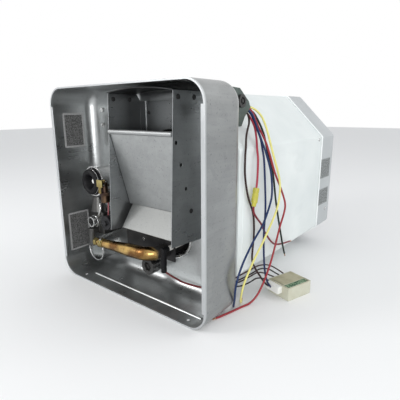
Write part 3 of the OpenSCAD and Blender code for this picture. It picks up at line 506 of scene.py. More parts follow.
inside_line = [(136.5, 464.8), (155.8, 445.4)]
lip = [(155.6, 380.5), (156.0, 380.1), (157.2, 380.0), (157.9, 380.4), (158.2, 381.4), (157.9, 382.3),
       (157.4, 382.8), (157.1, 384.0), (157.0, 385.5)]
side_fold = fold(CAP_HALF - FOLD, CAP_BACK - CAP_BEVEL - reach, eighth)
back_fold = fold(CAP_HALF - CAP_BEVEL - reach, CAP_BACK - FOLD, eighth + np.pi / 4)
cap_rows = [(*inside_line[0], MIDDLE_SHARE)]
lip_row = len(cap_rows) + len(inside_line)
cap_rows += [(half, d, 1) for half, d in inside_line + lip + side_fold + back_fold]
cap_rows += [(back_fold[-1][0], CAP_BACK, share) for share in (0.9, 0.5, MIDDLE_SHARE)]
cap = octagon_stack("cap_skin", cap_rows, "rear_cap")
columns = len(octagon(CAP_HALF))
# The lip's faces take the second finish, a near-white paint that stands for a painted highlight
lip_faces = np.zeros(len(cap.data.polygons), int)
lip_faces[lip_row * columns:(lip_row + len(lip) - 1) * columns] = 1
cap.data.polygons.foreach_set("material_index", lip_faces)
print("jacket rows:", len(wrap_line), "cap rows:", len(cap_rows))

# %% [markdown]
# ## Small pieces made anew
# The limit switch sits under a rubber dome with a dished top, and the relief valve's spring is a helix of
# wire. Flat facets would show on both, so the dome is turned from a smooth profile and the spring is a
# tube along its helix.

# %% Dome and spring
DOME_AT, COIL_FOOT = at_front(-112.5, 58, 168), at_front(-71, 30, 150.3)
DOME_BORE, DOME_R, DOME_FLOOR = 4.05, 23.8, 17
dome = [(DOME_BORE, 0), (DOME_R, 0), (DOME_R, 17.4), (23.3, 18.8), (22.4, 19.6)]
bulge = [(22.4, 20.4), (22.6, 23.4), (21.6, 27), (18.8, 29.4), (15.4, 29.8), (12.4, 27.2), (9.8, 20.6),
         (8.6, DOME_FLOOR)]
dome += smooth_run(bulge, 4).tolist() + [(DOME_BORE, DOME_FLOOR)]
limit_dome = turned("limit_dome", dome, DOME_AT, (0, -1, 0), ring=True)
stand_for(limit_dome, "limit_boot")

COIL_R, COIL_WIRE_R, COIL_HEIGHT = 3.1, 0.6, 11.8
COIL_TURNS, COIL_POINTS = 4, 145
coil_angle = np.linspace(0, COIL_TURNS * 2 * np.pi, COIL_POINTS)
coil_rise = np.linspace(0, COIL_HEIGHT, COIL_POINTS)
coil = np.stack([COIL_R * np.cos(coil_angle), COIL_R * np.sin(coil_angle), coil_rise], axis=1) * MM
spring = tube("coil_spring", COIL_FOOT + coil, COIL_WIRE_R * MM, sides=10)
stand_for(spring, "relief_spring")
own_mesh(spring)
print("dome rows:", len(dome), "spring turns:", COIL_TURNS)

# %% [markdown]
# Six rivets close holes in the flue's sides, and a thin bright tube bends round at the gas valve. The
# rivets repeat, so one turned profile is set down at each place. The tube follows a smooth run, as a tube
# that was bent by hand does.

# %% Rivets and bent tube
RIVET = [(0.3, -0.8), (2.6, -0.8), (2.6, 0), (3.6, 0.05), (3.4, 0.7), (2.2, 1.3), (0.3, 1.5)]
RIVET_SIDES = {"left": -34, "right": 96}
RIVET_SPOTS = {"front": (29, 303), "rear": (61, 303), "low": (52, 147)}
for side, face in RIVET_SIDES.items():
    for spot, (depth, height) in RIVET_SPOTS.items():
        place = at_front(face, depth, height)
        rivet = turned(f"flue_rivet_{side}_{spot}", RIVET, place, (1, 0, 0), sides=24)
        stand_for(rivet, "flue_rivets")

PILOT_R, PILOT_FROM = 2 * MM, at_front(-116, 0, 0)
pilot_run = [(11, 44, 106), (11, 39, 106.5), (18, 35, 113), (22, 35, 122), (19, 38, 130), (12, 46, 133),
             (5.5, 50.5, 130)]
pilot_path = smooth_run(np.array(pilot_run) * MM + PILOT_FROM)
stand_for(tube("pilot_tube", pilot_path, PILOT_R, sides=18), "valve_tube")
print("rivets:", len(RIVET_SIDES) * len(RIVET_SPOTS), "rings in the bent tube:", len(pilot_path))

# %% [markdown]
# Two plates on the pan's left wall and two stickers on the cap are blank films with a printed edge. A
# single plane would have no thickness to catch the light. Each is therefore a short stack of rounded
# rectangles, and its last face, the panel, takes the second material.

# %% Blank plates and stickers
FILM_CORNER, LEAST_CORNER = 2.2, 0.4
PLATE = {"node": "wall_plates", "wall": -160.5, "thick": 0.5, "edge": 3.0}
STICKER = {"node": "cap_stickers", "wall": CAP_HALF, "thick": 0.4, "edge": 1.2}
FILMS = {
    "plate_upper": (PLATE, (20, 224), (60, 283)),
    "plate_lower": (PLATE, (13, 36), (55, 107)),
    "sticker_upper": (STICKER, (383, 150), (434, 190)),
    "sticker_lower": (STICKER, (383, 94), (434, 128)),
}


def framed_film(name, low, high, node, wall, thick, edge):
    """A film on the plane x = wall between two corners (depth, z), in millimetres. Row k is the rectangle
    moved in by the first of its two numbers and raised by the second, as a share of the thickness."""
    rows = [(0, 0), (0, 0.7), (0.2, 1), (edge, 1), (edge + 0.15, 0.75)]
    (d0, z0), (d1, z1) = low, high
    loops = np.stack([rounded_loop([(d0 + i, z0 + i), (d1 - i, z0 + i), (d1 - i, z1 - i), (d0 + i, z1 - i)],
                                   max(LEAST_CORNER, FILM_CORNER - i)) for i, _ in rows])
    x = wall + thick * np.array([h for _, h in rows])[:, None]
    points = np.stack(np.broadcast_arrays(x, loops[..., 0], loops[..., 1]), axis=-1) * MM + [0, FRONT, 0]
    piece = stand_for(put_grid(name, points, crease=SHEET_CREASE), node)
    panel = np.zeros(len(piece.data.polygons), int)
    panel[-1] = 1
    piece.data.polygons.foreach_set("material_index", panel)


for film_name, (kind, low, high) in FILMS.items():
    framed_film(film_name, low, high, **kind)
print("films:", ", ".join(FILMS))

# %% [markdown]
# Everything else is a rounded copy of its packed solid. Thin folded sheet gets the smallest radius, and
# moulded and cast pieces the largest. Three round pieces only have their sharp edges marked.

# %% All other pieces
EDGES = {
    THIN: ["control_pan", "flue_wrap", "flue_top", "flue_baffle", "flue_deflector", "limit_collar",
           "wiring_gusset", "mixing_tube", "air_shutter"],
    SMALL: ["flue_rivets", "shutter_screw", "gas_spud", "burner_bracket", "igniter", "gas_inlet",
            "relief_valve", "relief_pin", "relief_lever", "drain_boss", "screws", "water_fittings",
            "gusset_bushing", "lead_grommets"],
    SOFT: ["igniter_boot", "gas_valve", "solenoid", "drain_plug", "reset_button"],
    0: ["combustion_tube", "burner_head", "entry_sleeve"],
}
for edge_size, node_names in EDGES.items():
    for node_name in node_names:
        rounded_copy(node_name, edge_size)
print("pieces so far:", sum(len(made) for made in PIECES.values()))

# %% [markdown]
# ## Shader arithmetic
# A procedural material is mostly arithmetic on patterns. Placed by hand in the node editor it is hard to
# read, so one small class wraps a node's output and gives it Python's operators. Each operation adds one
# Math node.

# %% Arithmetic on node outputs
class Wire:
    """A node output that takes part in arithmetic inside its own material."""

    def __init__(self, paint, socket):
        self.paint, self.socket = paint, socket

    def __add__(self, other):
        return self.paint.maths("ADD", self, other)

    def __sub__(self, other):
        return self.paint.maths("SUBTRACT", self, other)

    def __rsub__(self, other):
        return self.paint.maths("SUBTRACT", other, self)

    def __mul__(self, other):
        return self.paint.maths("MULTIPLY", self, other)


print("operators of a wire:", [word for word in vars(Wire) if word[2:5] in ("add", "sub", "mul")])

# %% [markdown]
# A second class holds one material, and its add() makes every other kind of node. All patterns stand on
# Object coordinates, so that a finish neither stretches over a surface nor slides when a piece moves.

# %% One material in the making
class Paint:
    """One material in the making, on Object coordinates."""

    def __init__(self, name):
        self.material = bpy.data.materials.new(name)
        self.material.use_nodes = True
        self.tree = self.material.node_tree
        self.shader = self.tree.nodes["Principled BSDF"]
        self.place = self.add("TexCoord", out="Object")

    def plug(self, socket, value):
        """Link a wire, or set a plain number or colour on the socket itself."""
        if isinstance(value, Wire):
            self.tree.links.new(value.socket, socket)
        elif socket.type == "RGBA":
            socket.default_value = (*value[:3], 1.0)
        else:
            socket.default_value = value

    def add(self, kind, out=0, settings=None, **sockets):
        """Any node: its settings first, then its sockets by name, or by number as i0, i1."""
        node = self.tree.nodes.new("ShaderNode" + kind)
        for key, value in (settings or {}).items():
            setattr(node, key, value)
        for key, value in sockets.items():
            numbered = key[0] == "i" and key[1:].isdigit()
            self.plug(node.inputs[int(key[1:]) if numbered else key.replace("_", " ")], value)
        return Wire(self, node.outputs[out])

    def maths(self, operation, a, b):
        """One Math node. An operation on a single value takes no notice of b."""
        return self.add("Math", settings={"operation": operation}, i0=a, i1=b)

    def along(self, axis):
        """One coordinate of the place: X, Y or Z, in metres."""
        return self.add("SeparateXYZ", out=axis, Vector=self.place)

    def stretch(self, x, y, z):
        """The place with each axis scaled: a pattern runs long where its scale is small."""
        return self.add("Mapping", Vector=self.place, Scale=(x, y, z))

    def noise(self, scale, detail=3, vector=None):
        """Fractal noise between 0 and 1, with features about 1 / scale metres wide."""
        return self.add("TexNoise", Vector=vector or self.place, Scale=scale, Detail=detail)

    def cells(self, scale):
        """One random grey for every cell of a pattern of flat cells."""
        colour = self.add("TexVoronoi", out="Color", Vector=self.place, Scale=scale)
        return self.add("SeparateColor", Color=colour)

    def ramp(self, value, low, high):
        """0 below low, 1 above high, straight between."""
        return self.add("MapRange", Value=value, From_Min=low, From_Max=high)

    def blend(self, a, b, share):
        """Colour a where share is 0, colour b where it is 1."""
        return self.add("Mix", out=2, settings={"data_type": "RGBA"}, i0=share, i6=a, i7=b)

    def bump(self, height, distance):
        """A normal that leans with the slope of height * distance, in metres."""
        return self.add("Bump", Strength=1.0, Distance=distance, Height=height)

    def surface(self, **sockets):
        """Set or link the shader's own sockets by name, and give the material back."""
        for key, value in sockets.items():
            self.plug(self.shader.inputs[key.replace("_", " ")], value)
        return self.material


def darker(colour, share):
    """Every channel multiplied by share."""
    return tuple(c * share for c in colour)


print("half of a pale grey:", darker((0.8, 0.8, 0.8), 0.5))

# %% [markdown]
# ## Finishes
# Galvanised sheet shows zinc crystals: flat cells that differ a little in tone and gloss, with streaks
# where it was rolled. A picture of sheet metal would need unwrapping and would repeat, so noise and cells
# in space make it instead. The same recipe with other tones and finer cells gives bright steel.

# %% Rolled zinc
FINISH = {}
# Tone of the painted highlight on the pan's front hem, and the depth over which it fades
HEM_HIGHLIGHT_TONE, HEM_HIGHLIGHT_FADE = (0.58, 0.60, 0.61), 1.5 * MM


def galvanised(name, pale, deep, crystal=60, gloss=0.36, wave=0.3 * MM, rim=None, soot=None):
    """Tone from deep to pale = 0.55 clouds + 0.25 crystals + 0.2 brush lines along the depth, with a few
    dark specks. In front of the depth rim a painted highlight lightens it, and darkening(paint) gives the
    share of a dark tone: painted shade, and the pan's darker outside."""
    p = Paint(name)
    grain = p.cells(crystal)
    cloud = p.ramp(p.noise(11, 4), 0.3, 0.7)
    brush = p.ramp(p.noise(300, 4, p.stretch(1.0, 0.05, 1.0)), 0.3, 0.7)
    tone = p.blend(deep, pale, cloud * 0.55 + grain * 0.25 + brush * 0.2)
    speck = p.ramp(p.noise(380, 3), 0.62, 0.72)
    tone = p.blend(tone, darker(deep, 0.55), speck * 0.5)
    rough = grain * 0.05 + cloud * 0.08 + brush * 0.05 + (gloss - 0.09)
    # Painted shade: the dark tone is mixed in as far as the mask asks
    if soot:
        tone = p.blend(tone, darker(deep, 0.25), soot(p))
    # Painted highlight: in front of the depth rim the zinc is lightened towards a pale tone
    if rim:
        edge = 1 - p.ramp(p.along("Y"), FRONT + rim, FRONT + rim + HEM_HIGHLIGHT_FADE)
        tone = p.blend(tone, HEM_HIGHLIGHT_TONE, edge * 0.85)
    height = p.noise(10, 2) + brush * 0.01
    return p.surface(Base_Color=tone, Metallic=0.9, Roughness=rough, Normal=p.bump(height, wave))


def mix_all(recipe, table):
    """Each row of the table is a finish: its name, its colours and the recipe's other settings."""
    for name, (*colours, settings) in table.items():
        FINISH[name] = recipe(name, *colours, **settings)
    print(recipe.__name__ + ":", ", ".join(table))


mix_all(galvanised, {
    "deflector_zinc": ((0.30, 0.305, 0.30), (0.19, 0.195, 0.19), dict(crystal=90, gloss=0.46)),
    "bright_steel": ((0.66, 0.66, 0.65), (0.40, 0.41, 0.41), dict(crystal=300, gloss=0.24, wave=0.1 * MM)),
    "polished_steel": ((0.86, 0.86, 0.85), (0.70, 0.70, 0.70),
                       dict(crystal=300, gloss=0.20, wave=0.05 * MM)),
    "gusset_zinc": ((0.17, 0.21, 0.195), (0.07, 0.09, 0.083), dict(crystal=110, gloss=0.42)),
})

# %% [markdown]
# Painted shade darkens the inside of the flue, the top of the pan's back wall behind it and the pan's left
# inside wall, and the pan's outside is a little darker. These could be painted by hand on an unwrapped
# surface. Where they lie depends only on the place, so each share is worked out from ramps along the axes.

# %% Painted shade and a darker outside
FLUE_RIGHT, FLUE_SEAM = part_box("flue_wrap")[1][0], -20.75 * MM
BAFFLE_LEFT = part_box("flue_baffle")[0][0]
PAN_HALF, PAN_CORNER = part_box("control_pan")[1][0], 30 * MM
SHADE_LEFT, SHADE_FOOT, SHADE_BACK = -36 * MM, 270 * MM, FRONT + 78 * MM


def past(p, place, middle, straight):
    """How far a place lies past the straight stretch on either side of the middle, or 0."""
    return p.maths("MAXIMUM", p.maths("ABSOLUTE", place - middle, 0) - straight, 0)


def pan_shade_and_dark_skin(p):
    """The share of the dark tone on the pan. Painted shade darkens the back wall where the flue's open back
    stands before it and darkens the left wall, and the outside is a little darker. The outside lies a corner
    radius from the axes of the rounded corners, and the inside a sheet's thickness less."""
    x, z = p.along("X"), p.along("Z")
    across = p.ramp(x, SHADE_LEFT, SHADE_LEFT + 3 * MM) * (1 - p.ramp(x, FLUE_RIGHT - 3 * MM, FLUE_RIGHT))
    up = p.ramp(z, SHADE_FOOT, SHADE_FOOT + 20 * MM)
    # Painted shade at the top of the back wall, where the flue stands before it
    behind = across * up * p.ramp(p.along("Y"), SHADE_BACK, SHADE_BACK + 2 * MM)
    straight = PAN_HALF - PAN_CORNER
    aside, above = past(p, x, 0.0, straight), past(p, z, PAN_HALF, straight)
    from_axis = p.maths("SQRT", aside * aside + above * above, 0)
    outside = p.ramp(from_axis, PAN_CORNER - 0.75 * MM, PAN_CORNER - 0.35 * MM)
    # Painted shade on the pan's left inside wall
    left = (1 - p.ramp(x, 0.9 * MM - PAN_HALF, 1.6 * MM - PAN_HALF)) * (1 - outside)
    return behind * 0.75 + outside * 0.25 + left * 0.33


def flue_shade(p):
    """Painted shade: more with depth and to the left, none on the right plate's sheet or on the folded seam.
    """
    x = p.along("X")
    inside = p.ramp(FLUE_RIGHT - x, 2 * MM, 5 * MM)
    off_seam = p.ramp(p.maths("ABSOLUTE", x - FLUE_SEAM, 0), 1 * MM, 1.4 * MM)
    share = 0.9 - p.ramp(x, FLUE_SEAM, FLUE_RIGHT) * 0.4
    # Painted shade deepening into the flue box and towards its left side
    return p.ramp(p.along("Y"), FRONT + 20 * MM, FRONT + 60 * MM) * inside * off_seam * share


def gap_shade(p):
    """Painted shade: a dark line in the gap where the slanted plate meets the flue's left side."""
    # Painted shade along the slanted plate's left edge
    return 0.9 - p.ramp(p.along("X"), BAFFLE_LEFT + 0.8 * MM, BAFFLE_LEFT + 1.6 * MM) * 0.9


def top_shade(p):
    """Painted shade: the bowed top darkens behind its front edge."""
    # Painted shade on the bowed top behind its front strip
    return p.ramp(p.along("Y"), FRONT + 13 * MM, FRONT + 17 * MM) * 0.95


mix_all(galvanised, {
    # The pan takes a painted highlight on its front hem, and painted shade from its mask
    "pan_zinc": ((0.50, 0.515, 0.517), (0.315, 0.326, 0.328),
                 dict(gloss=0.33, wave=0.2 * MM, rim=2 * MM, soot=pan_shade_and_dark_skin)),
    "flue_zinc": ((0.40, 0.415, 0.42), (0.25, 0.26, 0.265),
                  dict(gloss=0.32, wave=0.2 * MM, soot=flue_shade)),
    "flue_top_zinc": ((0.40, 0.415, 0.42), (0.25, 0.26, 0.265), dict(soot=top_shade)),
    "plate_zinc": ((0.43, 0.44, 0.44), (0.28, 0.29, 0.29), dict(crystal=110, gloss=0.42, soot=gap_shade)),
})

# %% [markdown]
# The jacket is painted sheet: nearly white with a breath of green-blue, slightly uneven, with the fine
# ripple of sprayed paint and a few grey rub marks where it was carried. The cap has the same paint greyed
# as painted shade, and its lip a near-white paint as a painted highlight. A plain colour would look like
# plastic, so one recipe gives all three these marks.

# %% Jacket paint
def jacket_paint(name, pale, deep, worn):
    """Clouds between two near whites, rub marks towards a worn grey, sprayed ripple in the bump."""
    p = Paint(name)
    cloud = p.ramp(p.noise(13, 4), 0.3, 0.7)
    rub = p.ramp(p.noise(26, 5, p.stretch(1.0, 0.45, 1.0)), 0.58, 0.80)
    tone = p.blend(deep, pale, cloud)
    tone = p.blend(tone, worn, rub * 0.35)
    rough = cloud * 0.12 + rub * 0.2 + 0.30
    height = p.noise(650, 2) * 0.05 + p.noise(9, 2)
    return p.surface(Base_Color=tone, Roughness=rough, Normal=p.bump(height, 0.9 * MM))


mix_all(jacket_paint, {
    "jacket_paint": ((0.80, 0.84, 0.83), (0.70, 0.75, 0.745), (0.56, 0.60, 0.60), {}),
    # The cap's paint is the jacket's paint greyed as painted shade
    "cap_paint": ((0.50, 0.525, 0.535), (0.41, 0.44, 0.45), (0.33, 0.35, 0.36), {}),
    # The lip's near-white paint is a painted highlight
    "edge_paint": ((0.90, 0.92, 0.92), (0.84, 0.87, 0.87), (0.70, 0.72, 0.72), {}),
})

# %% [markdown]
# Brass and the copper-gold burner tube take on a patchy tarnish: brown where they were warm, bright
# where they were handled. The tube is sooted black where it bends towards the flame. Cast alloy has a
# sandy skin instead. Both are noise, at very different scales, so each is one short recipe.

# %% Brass and cast metal
SOOT_BLACK = (0.02, 0.019, 0.018)


def tarnished(name, bright, brown, gloss=0.26, soot_depth=None):
    """Wide noise shares out brown and bright, and the peaks of a fine noise darken both. Behind soot_depth
    the metal turns sooty black, along a line that noise makes ragged."""
    p = Paint(name)
    patch = p.ramp(p.noise(38, 5), 0.38, 0.66)
    fine = p.noise(240, 3)
    tone = p.blend(brown, bright, patch)
    tone = p.blend(tone, darker(brown, 0.35), p.ramp(fine, 0.62, 0.75) * 0.6)
    rough = (1 - patch) * 0.16 + fine * 0.12 + (gloss - 0.06)
    metal = 1.0
    if soot_depth is not None:
        edge = FRONT + soot_depth
        soot = p.ramp(p.along("Y") + p.noise(90, 3) * 6 * MM, edge + 1 * MM, edge + 6 * MM)
        tone, rough, metal = p.blend(tone, SOOT_BLACK, soot), rough + soot * 0.3, 1 - soot
    return p.surface(Base_Color=tone, Metallic=metal, Roughness=rough, Normal=p.bump(fine, 0.05 * MM))


def cast(name, pale, deep):
    """Sand is a fine noise that lightens the skin, roughens it and raises it."""
    p = Paint(name)
    sand = p.noise(520, 4)
    tone = p.blend(deep, pale, p.noise(45, 3) * 0.8 + sand * 0.3)
    rough = sand * 0.2 + 0.26
    return p.surface(Base_Color=tone, Metallic=0.85, Roughness=rough, Normal=p.bump(sand, 0.12 * MM))


mix_all(tarnished, {
    "burner_gold": ((0.62, 0.42, 0.15), (0.20, 0.10, 0.035), dict(gloss=0.12, soot_depth=40 * MM)),
    "brass": ((0.62, 0.52, 0.22), (0.26, 0.20, 0.07), {}),
    "lever_brass": ((0.56, 0.48, 0.20), (0.24, 0.18, 0.07), {}),
    "relief_bronze": ((0.15, 0.10, 0.06), (0.05, 0.03, 0.025), {}),
    "copper": ((0.86, 0.52, 0.34), (0.52, 0.26, 0.14), dict(gloss=0.3)),
})
mix_all(cast, {
    "cast_alloy": ((0.13, 0.13, 0.125), (0.03, 0.03, 0.03), {}),
    "anode_metal": ((0.66, 0.66, 0.64), (0.48, 0.48, 0.47), {}),
})

# %% [markdown]
# Rubber, plastic and enamel are never quite one colour: dust and rubbed spots lift the black ones and dull
# the white ones. The board's tray is a cream shell with a tan filling poured in. The filling is part of
# the tray's solid, so its height tells it from the rim.

# %% Moulded finishes
FILL_LOW, FILL_HIGH, FILL_FADE = 21.1 * MM, 21.9 * MM, 0.2 * MM


def dusty(name, colour, dust, gloss, grain=0.05 * MM, amount=0.35, shine=0.5):
    """One colour, with the share amount of dust in soft patches, and a fine grain in gloss and bump."""
    p = Paint(name)
    patch = p.ramp(p.noise(60, 5), 0.45, 0.8)
    fine = p.noise(700, 2)
    tone = p.blend(colour, dust, patch * amount)
    rough = patch * 0.15 + fine * 0.1 + gloss
    return p.surface(Base_Color=tone, Roughness=rough, Specular_IOR_Level=shine, Normal=p.bump(fine, grain))


def potted(name, shell, filling):
    """A stained shell below and above, and the filling between two heights just under the rim."""
    p = Paint(name)
    patch = p.ramp(p.noise(70, 5), 0.4, 0.75)
    z = p.along("Z")
    poured = p.ramp(z, FILL_LOW, FILL_LOW + FILL_FADE) * p.ramp(z, FILL_HIGH, FILL_HIGH - FILL_FADE)
    stained = p.blend(shell, filling, patch * 0.35)
    tone = p.blend(stained, p.blend(filling, darker(filling, 0.7), patch), poured)
    return p.surface(Base_Color=tone, Roughness=patch * 0.15 + 0.42, Normal=p.bump(patch, 0.1 * MM))


mix_all(dusty, {
    "rivet_black": ((0.02, 0.02, 0.02), (0.07, 0.07, 0.07), dict(gloss=0.6, shine=0.2)),
    "black_enamel": ((0.012, 0.012, 0.013), (0.07, 0.065, 0.06), dict(gloss=0.34, shine=0.35)),
    "black_rubber": ((0.007, 0.007, 0.008), (0.03, 0.03, 0.03), dict(gloss=0.40, shine=0.15)),
    "black_gloss": ((0.010, 0.010, 0.010), (0.05, 0.047, 0.043), dict(gloss=0.18, amount=0.4)),
    "black_plastic": ((0.008, 0.008, 0.010), (0.035, 0.035, 0.035), dict(gloss=0.22, shine=0.25)),
    "white_plastic": ((0.82, 0.82, 0.79), (0.60, 0.58, 0.52), dict(gloss=0.36, amount=0.25)),
    "ceramic": ((0.84, 0.83, 0.79), (0.52, 0.49, 0.44), dict(gloss=0.22, amount=0.3)),
    "sleeve_olive": ((0.52, 0.48, 0.06), (0.26, 0.24, 0.06), dict(gloss=0.34, amount=0.7)),
    "foam": ((0.86, 0.81, 0.62), (0.74, 0.66, 0.45), dict(gloss=0.75, grain=0.5 * MM)),
})
mix_all(potted, {"cream_plastic": ((0.58, 0.58, 0.47), (0.42, 0.39, 0.26), {})})

# %% [markdown]
# The blank films and the circuit board show a fine grain of print. Two tones that a fine noise shares out
# give that grain at any distance, and no picture has to be kept beside the script.

# %% Printed films
def printed_film(name, pale, deep, speckle=520):
    """Two tones, shared out by a noise with the scale speckle, on a film with little shine."""
    p = Paint(name)
    fleck = p.ramp(p.noise(speckle, 3), 0.36, 0.64)
    tone = p.blend(deep, pale, fleck)
    rough = fleck * 0.1 + 0.55
    grain = p.bump(fleck, 0.02 * MM)
    return p.surface(Base_Color=tone, Roughness=rough, Specular_IOR_Level=0.12, Normal=grain)


mix_all(printed_film, {
    "board_green": ((0.30, 0.42, 0.28), (0.015, 0.07, 0.035), dict(speckle=420)),
    "plate_film": ((0.17, 0.17, 0.168), (0.06, 0.06, 0.06), {}),
    "plate_edge": ((0.36, 0.36, 0.36), (0.28, 0.28, 0.28), {}),
    "sticker_film": ((0.35, 0.37, 0.37), (0.11, 0.115, 0.115), dict(speckle=420)),
    "sticker_edge": ((0.40, 0.42, 0.42), (0.30, 0.32, 0.32), {}),
})

# %% [markdown]
# Lead insulation drifts faintly in tone along the lead and has a waxy, slightly uneven gloss. The leads
# differ only in colour, so one recipe takes each lead's colour from a table.

# %% Lead colours
def sleeve_colour(name, colour):
    """The tone drifts from 0.72 to 1.18 of the colour, and a fine noise varies the gloss and the bump."""
    p = Paint(name)
    drift = p.noise(35, 3)
    fine = p.noise(900, 2)
    pale = tuple(min(1.0, c * 1.18) for c in colour)
    tone = p.blend(darker(colour, 0.72), pale, drift)
    rough = fine * 0.1 + drift * 0.08 + 0.24
    wax = p.bump(fine, 0.02 * MM)
    return p.surface(Base_Color=tone, Roughness=rough, Specular_IOR_Level=0.25, Normal=wax)


SLEEVES = {
    "brown": (0.03, 0.013, 0.012), "red": (0.36, 0.035, 0.06), "tail": (0.20, 0.02, 0.03),
    "blue_a": (0.014, 0.024, 0.085), "blue_b": (0.012, 0.03, 0.10), "black": (0.012, 0.022, 0.018),
    "yellow": (0.76, 0.71, 0.24), "maroon": (0.33, 0.035, 0.045), "igniter": (0.13, 0.02, 0.02),
    "valve": (0.34, 0.11, 0.12), "board_0": (0.045, 0.010, 0.010), "board_1": (0.015, 0.008, 0.008),
    "board_2": (0.03, 0.010, 0.010), "board_3": (0.014, 0.009, 0.010)}
for sleeve, colour in SLEEVES.items():
    LEADS[sleeve].data.materials.append(sleeve_colour("sleeve_" + sleeve, colour))
for bare in BARE_ENDS:
    bare.data.materials.append(FINISH["copper"])
print("sleeves:", len(SLEEVES), "bare ends:", len(BARE_ENDS))

# %% [markdown]
# ## Dressing the pieces
# One table says which nodes have which finish, and two names mean that marked faces take the second. A
# node that was replaced passes its finish to its pieces, and a node hidden inside the casing keeps its
# packed mesh and only changes its material. Clearing the materials would forget which faces were marked,
# so the marks are kept and put back.

# %% Dress
DRESS = {
    "pan_zinc": ["control_pan"],
    "gusset_zinc": ["wiring_gusset"],
    "flue_zinc": ["flue_wrap"],
    "flue_top_zinc": ["flue_top"],
    "plate_zinc": ["flue_baffle"],
    "deflector_zinc": ["flue_deflector"],
    "rivet_black": ["flue_rivets"],
    "jacket_paint": ["jacket_wrap"],
    # The rear cap: greyed paint as painted shade, and on its lip a near-white paint as a painted highlight
    "cap_paint edge_paint": ["rear_cap"],
    "polished_steel": ["limit_collar"],
    "bright_steel": ["combustion_tube", "shutter_screw", "gas_inlet", "relief_pin", "entry_sleeve",
                     "drain_boss", "screws", "tank_shell", "tank_front_head", "tank_rear_head",
                     "relief_stem", "relief_spring", "valve_tube"],
    "burner_gold": ["mixing_tube"],
    "brass": ["air_shutter", "gas_spud", "water_fittings"],
    "relief_bronze": ["relief_valve"],
    "lever_brass": ["relief_lever"],
    "cast_alloy": ["gas_valve"],
    "anode_metal": ["anode_rod"],
    "black_enamel": ["burner_head", "burner_bracket"],
    "black_gloss": ["drain_plug", "gusset_bushing"],
    "black_rubber": ["igniter_boot", "limit_boot", "lead_grommets"],
    "black_plastic": ["solenoid", "limit_switch"],
    "white_plastic": ["board_plug", "reset_button"],
    "ceramic": ["igniter"],
    "cream_plastic": ["board_tray"],
    "board_green": ["circuit_board"],
    "sleeve_olive": ["inline_connector"],
    "foam": ["insulation"],
    "plate_edge plate_film": ["wall_plates"],
    "sticker_edge sticker_film": ["cap_stickers"],
}


def dress(mesh, finishes):
    """Give a mesh these finishes; a face's mark is the number of its finish, or of the last one."""
    marks = np.zeros(len(mesh.polygons), np.int32)
    mesh.polygons.foreach_get("material_index", marks)
    mesh.materials.clear()
    for finish in finishes:
        mesh.materials.append(FINISH[finish])
    mesh.polygons.foreach_set("material_index", np.minimum(marks, len(finishes) - 1))


for finish_names, node_names in DRESS.items():
    for node_name in node_names:
        for piece in PIECES.get(node_name, [frame["nodes"][node_name]]):
            dress(piece.data, finish_names.split())
dressed = {node for nodes in DRESS.values() for node in nodes} | set(PIECES)
print("finishes:", len(FINISH), "not dressed:", sorted(set(frame["nodes"]) - dressed))

# %% [markdown]
# ## Stage and light
# The object stands on a pale floor in even light. The camera, mirrors and glass see a plain white world,
# and dull surfaces are lit by a greyer, slightly cool one, so that paint and floor stay below full white.
# A picture of a room could light it too, but would show in every mirror.

# %% World and floor
scene = bpy.context.scene
scene.view_settings.view_transform = "Standard"
WHITE, COOL_GREY, FLOOR_GREY = (1, 1, 1), (0.71, 0.725, 0.74), (0.89, 0.89, 0.89)
FLOOR_REACH = 6.0


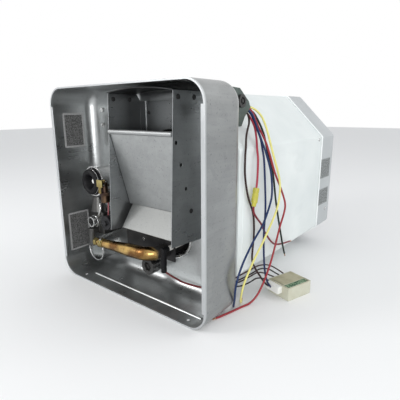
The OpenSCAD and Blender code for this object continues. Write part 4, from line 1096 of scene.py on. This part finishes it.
def studio_world(room, seen):
    """A world of the colour seen to the camera, to mirrors and to glass, and of room to dull surfaces."""
    world = bpy.data.worlds.new("studio")
    world.use_nodes = True
    scene.world = world
    tree = world.node_tree
    rays = tree.nodes.new("ShaderNodeLightPath")
    shown = rays.outputs["Is Camera Ray"]
    for kind in ("Is Glossy Ray", "Is Transmission Ray"):
        either = tree.nodes.new("ShaderNodeMath")
        either.operation = "MAXIMUM"
        tree.links.new(shown, either.inputs[0])
        tree.links.new(rays.outputs[kind], either.inputs[1])
        shown = either.outputs[0]
    mix = tree.nodes.new("ShaderNodeMix")
    mix.data_type = "RGBA"
    mix.inputs[6].default_value = (*room, 1)
    mix.inputs[7].default_value = (*seen, 1)
    tree.links.new(shown, mix.inputs[0])
    tree.links.new(mix.outputs[2], tree.nodes["Background"].inputs["Color"])


def pale_floor(reach):
    """One square face on the plane z = 0, from -reach to reach both ways."""
    corners = [(-reach, -reach, 0), (reach, -reach, 0), (reach, reach, 0), (-reach, reach, 0)]
    floor = put_mesh("floor", corners, [[0, 1, 2, 3]])
    floor.data.materials.append(Paint("floor_pale").surface(Base_Color=FLOOR_GREY, Roughness=0.8))


studio_world(COOL_GREY, WHITE)
pale_floor(FLOOR_REACH)
print("world:", scene.world.name, "floor:", 2 * FLOOR_REACH, "m wide")

# %% [markdown]
# Three lamps give the shapes their light and shade: a key lamp high on the right, a front lamp that reaches
# into the pan, and a fill lamp on the left. Point lamps would draw hard shadows, so these are squares,
# whose light is as soft as a window's.

# %% Lamps
MIDDLE = (0.0, 0.0, 0.16)
LAMPS = {
    "key": ((1.2, 0.6, 1.6), 0.9, 5.5),
    "front": ((0.85, -1.25, 0.42), 0.6, 8),
    "fill": ((-0.9, -1.4, 0.9), 0.6, 8.5),
}


def soft_lamp(name, place, size, watts):
    """A square area lamp at place that looks at MIDDLE: its own Z axis points away from there."""
    data = bpy.data.lights.new(name, "AREA")
    data.energy, data.size = watts, size
    lamp = bpy.data.objects.new(name, data)
    scene.collection.objects.link(lamp)
    away = np.asarray(place, float) - np.asarray(MIDDLE, float)
    away /= np.linalg.norm(away)
    aside = np.cross([0, 0, 1.0], away)
    aside /= np.linalg.norm(aside)
    basis = np.column_stack([aside, np.cross(away, aside), away])
    lamp.matrix_world = Matrix.Translation(place) @ Matrix(basis).to_4x4()


for lamp_name, (place, size, watts) in LAMPS.items():
    soft_lamp(lamp_name, place, size, watts)
print("lamps:", ", ".join(LAMPS))

# %% [markdown]
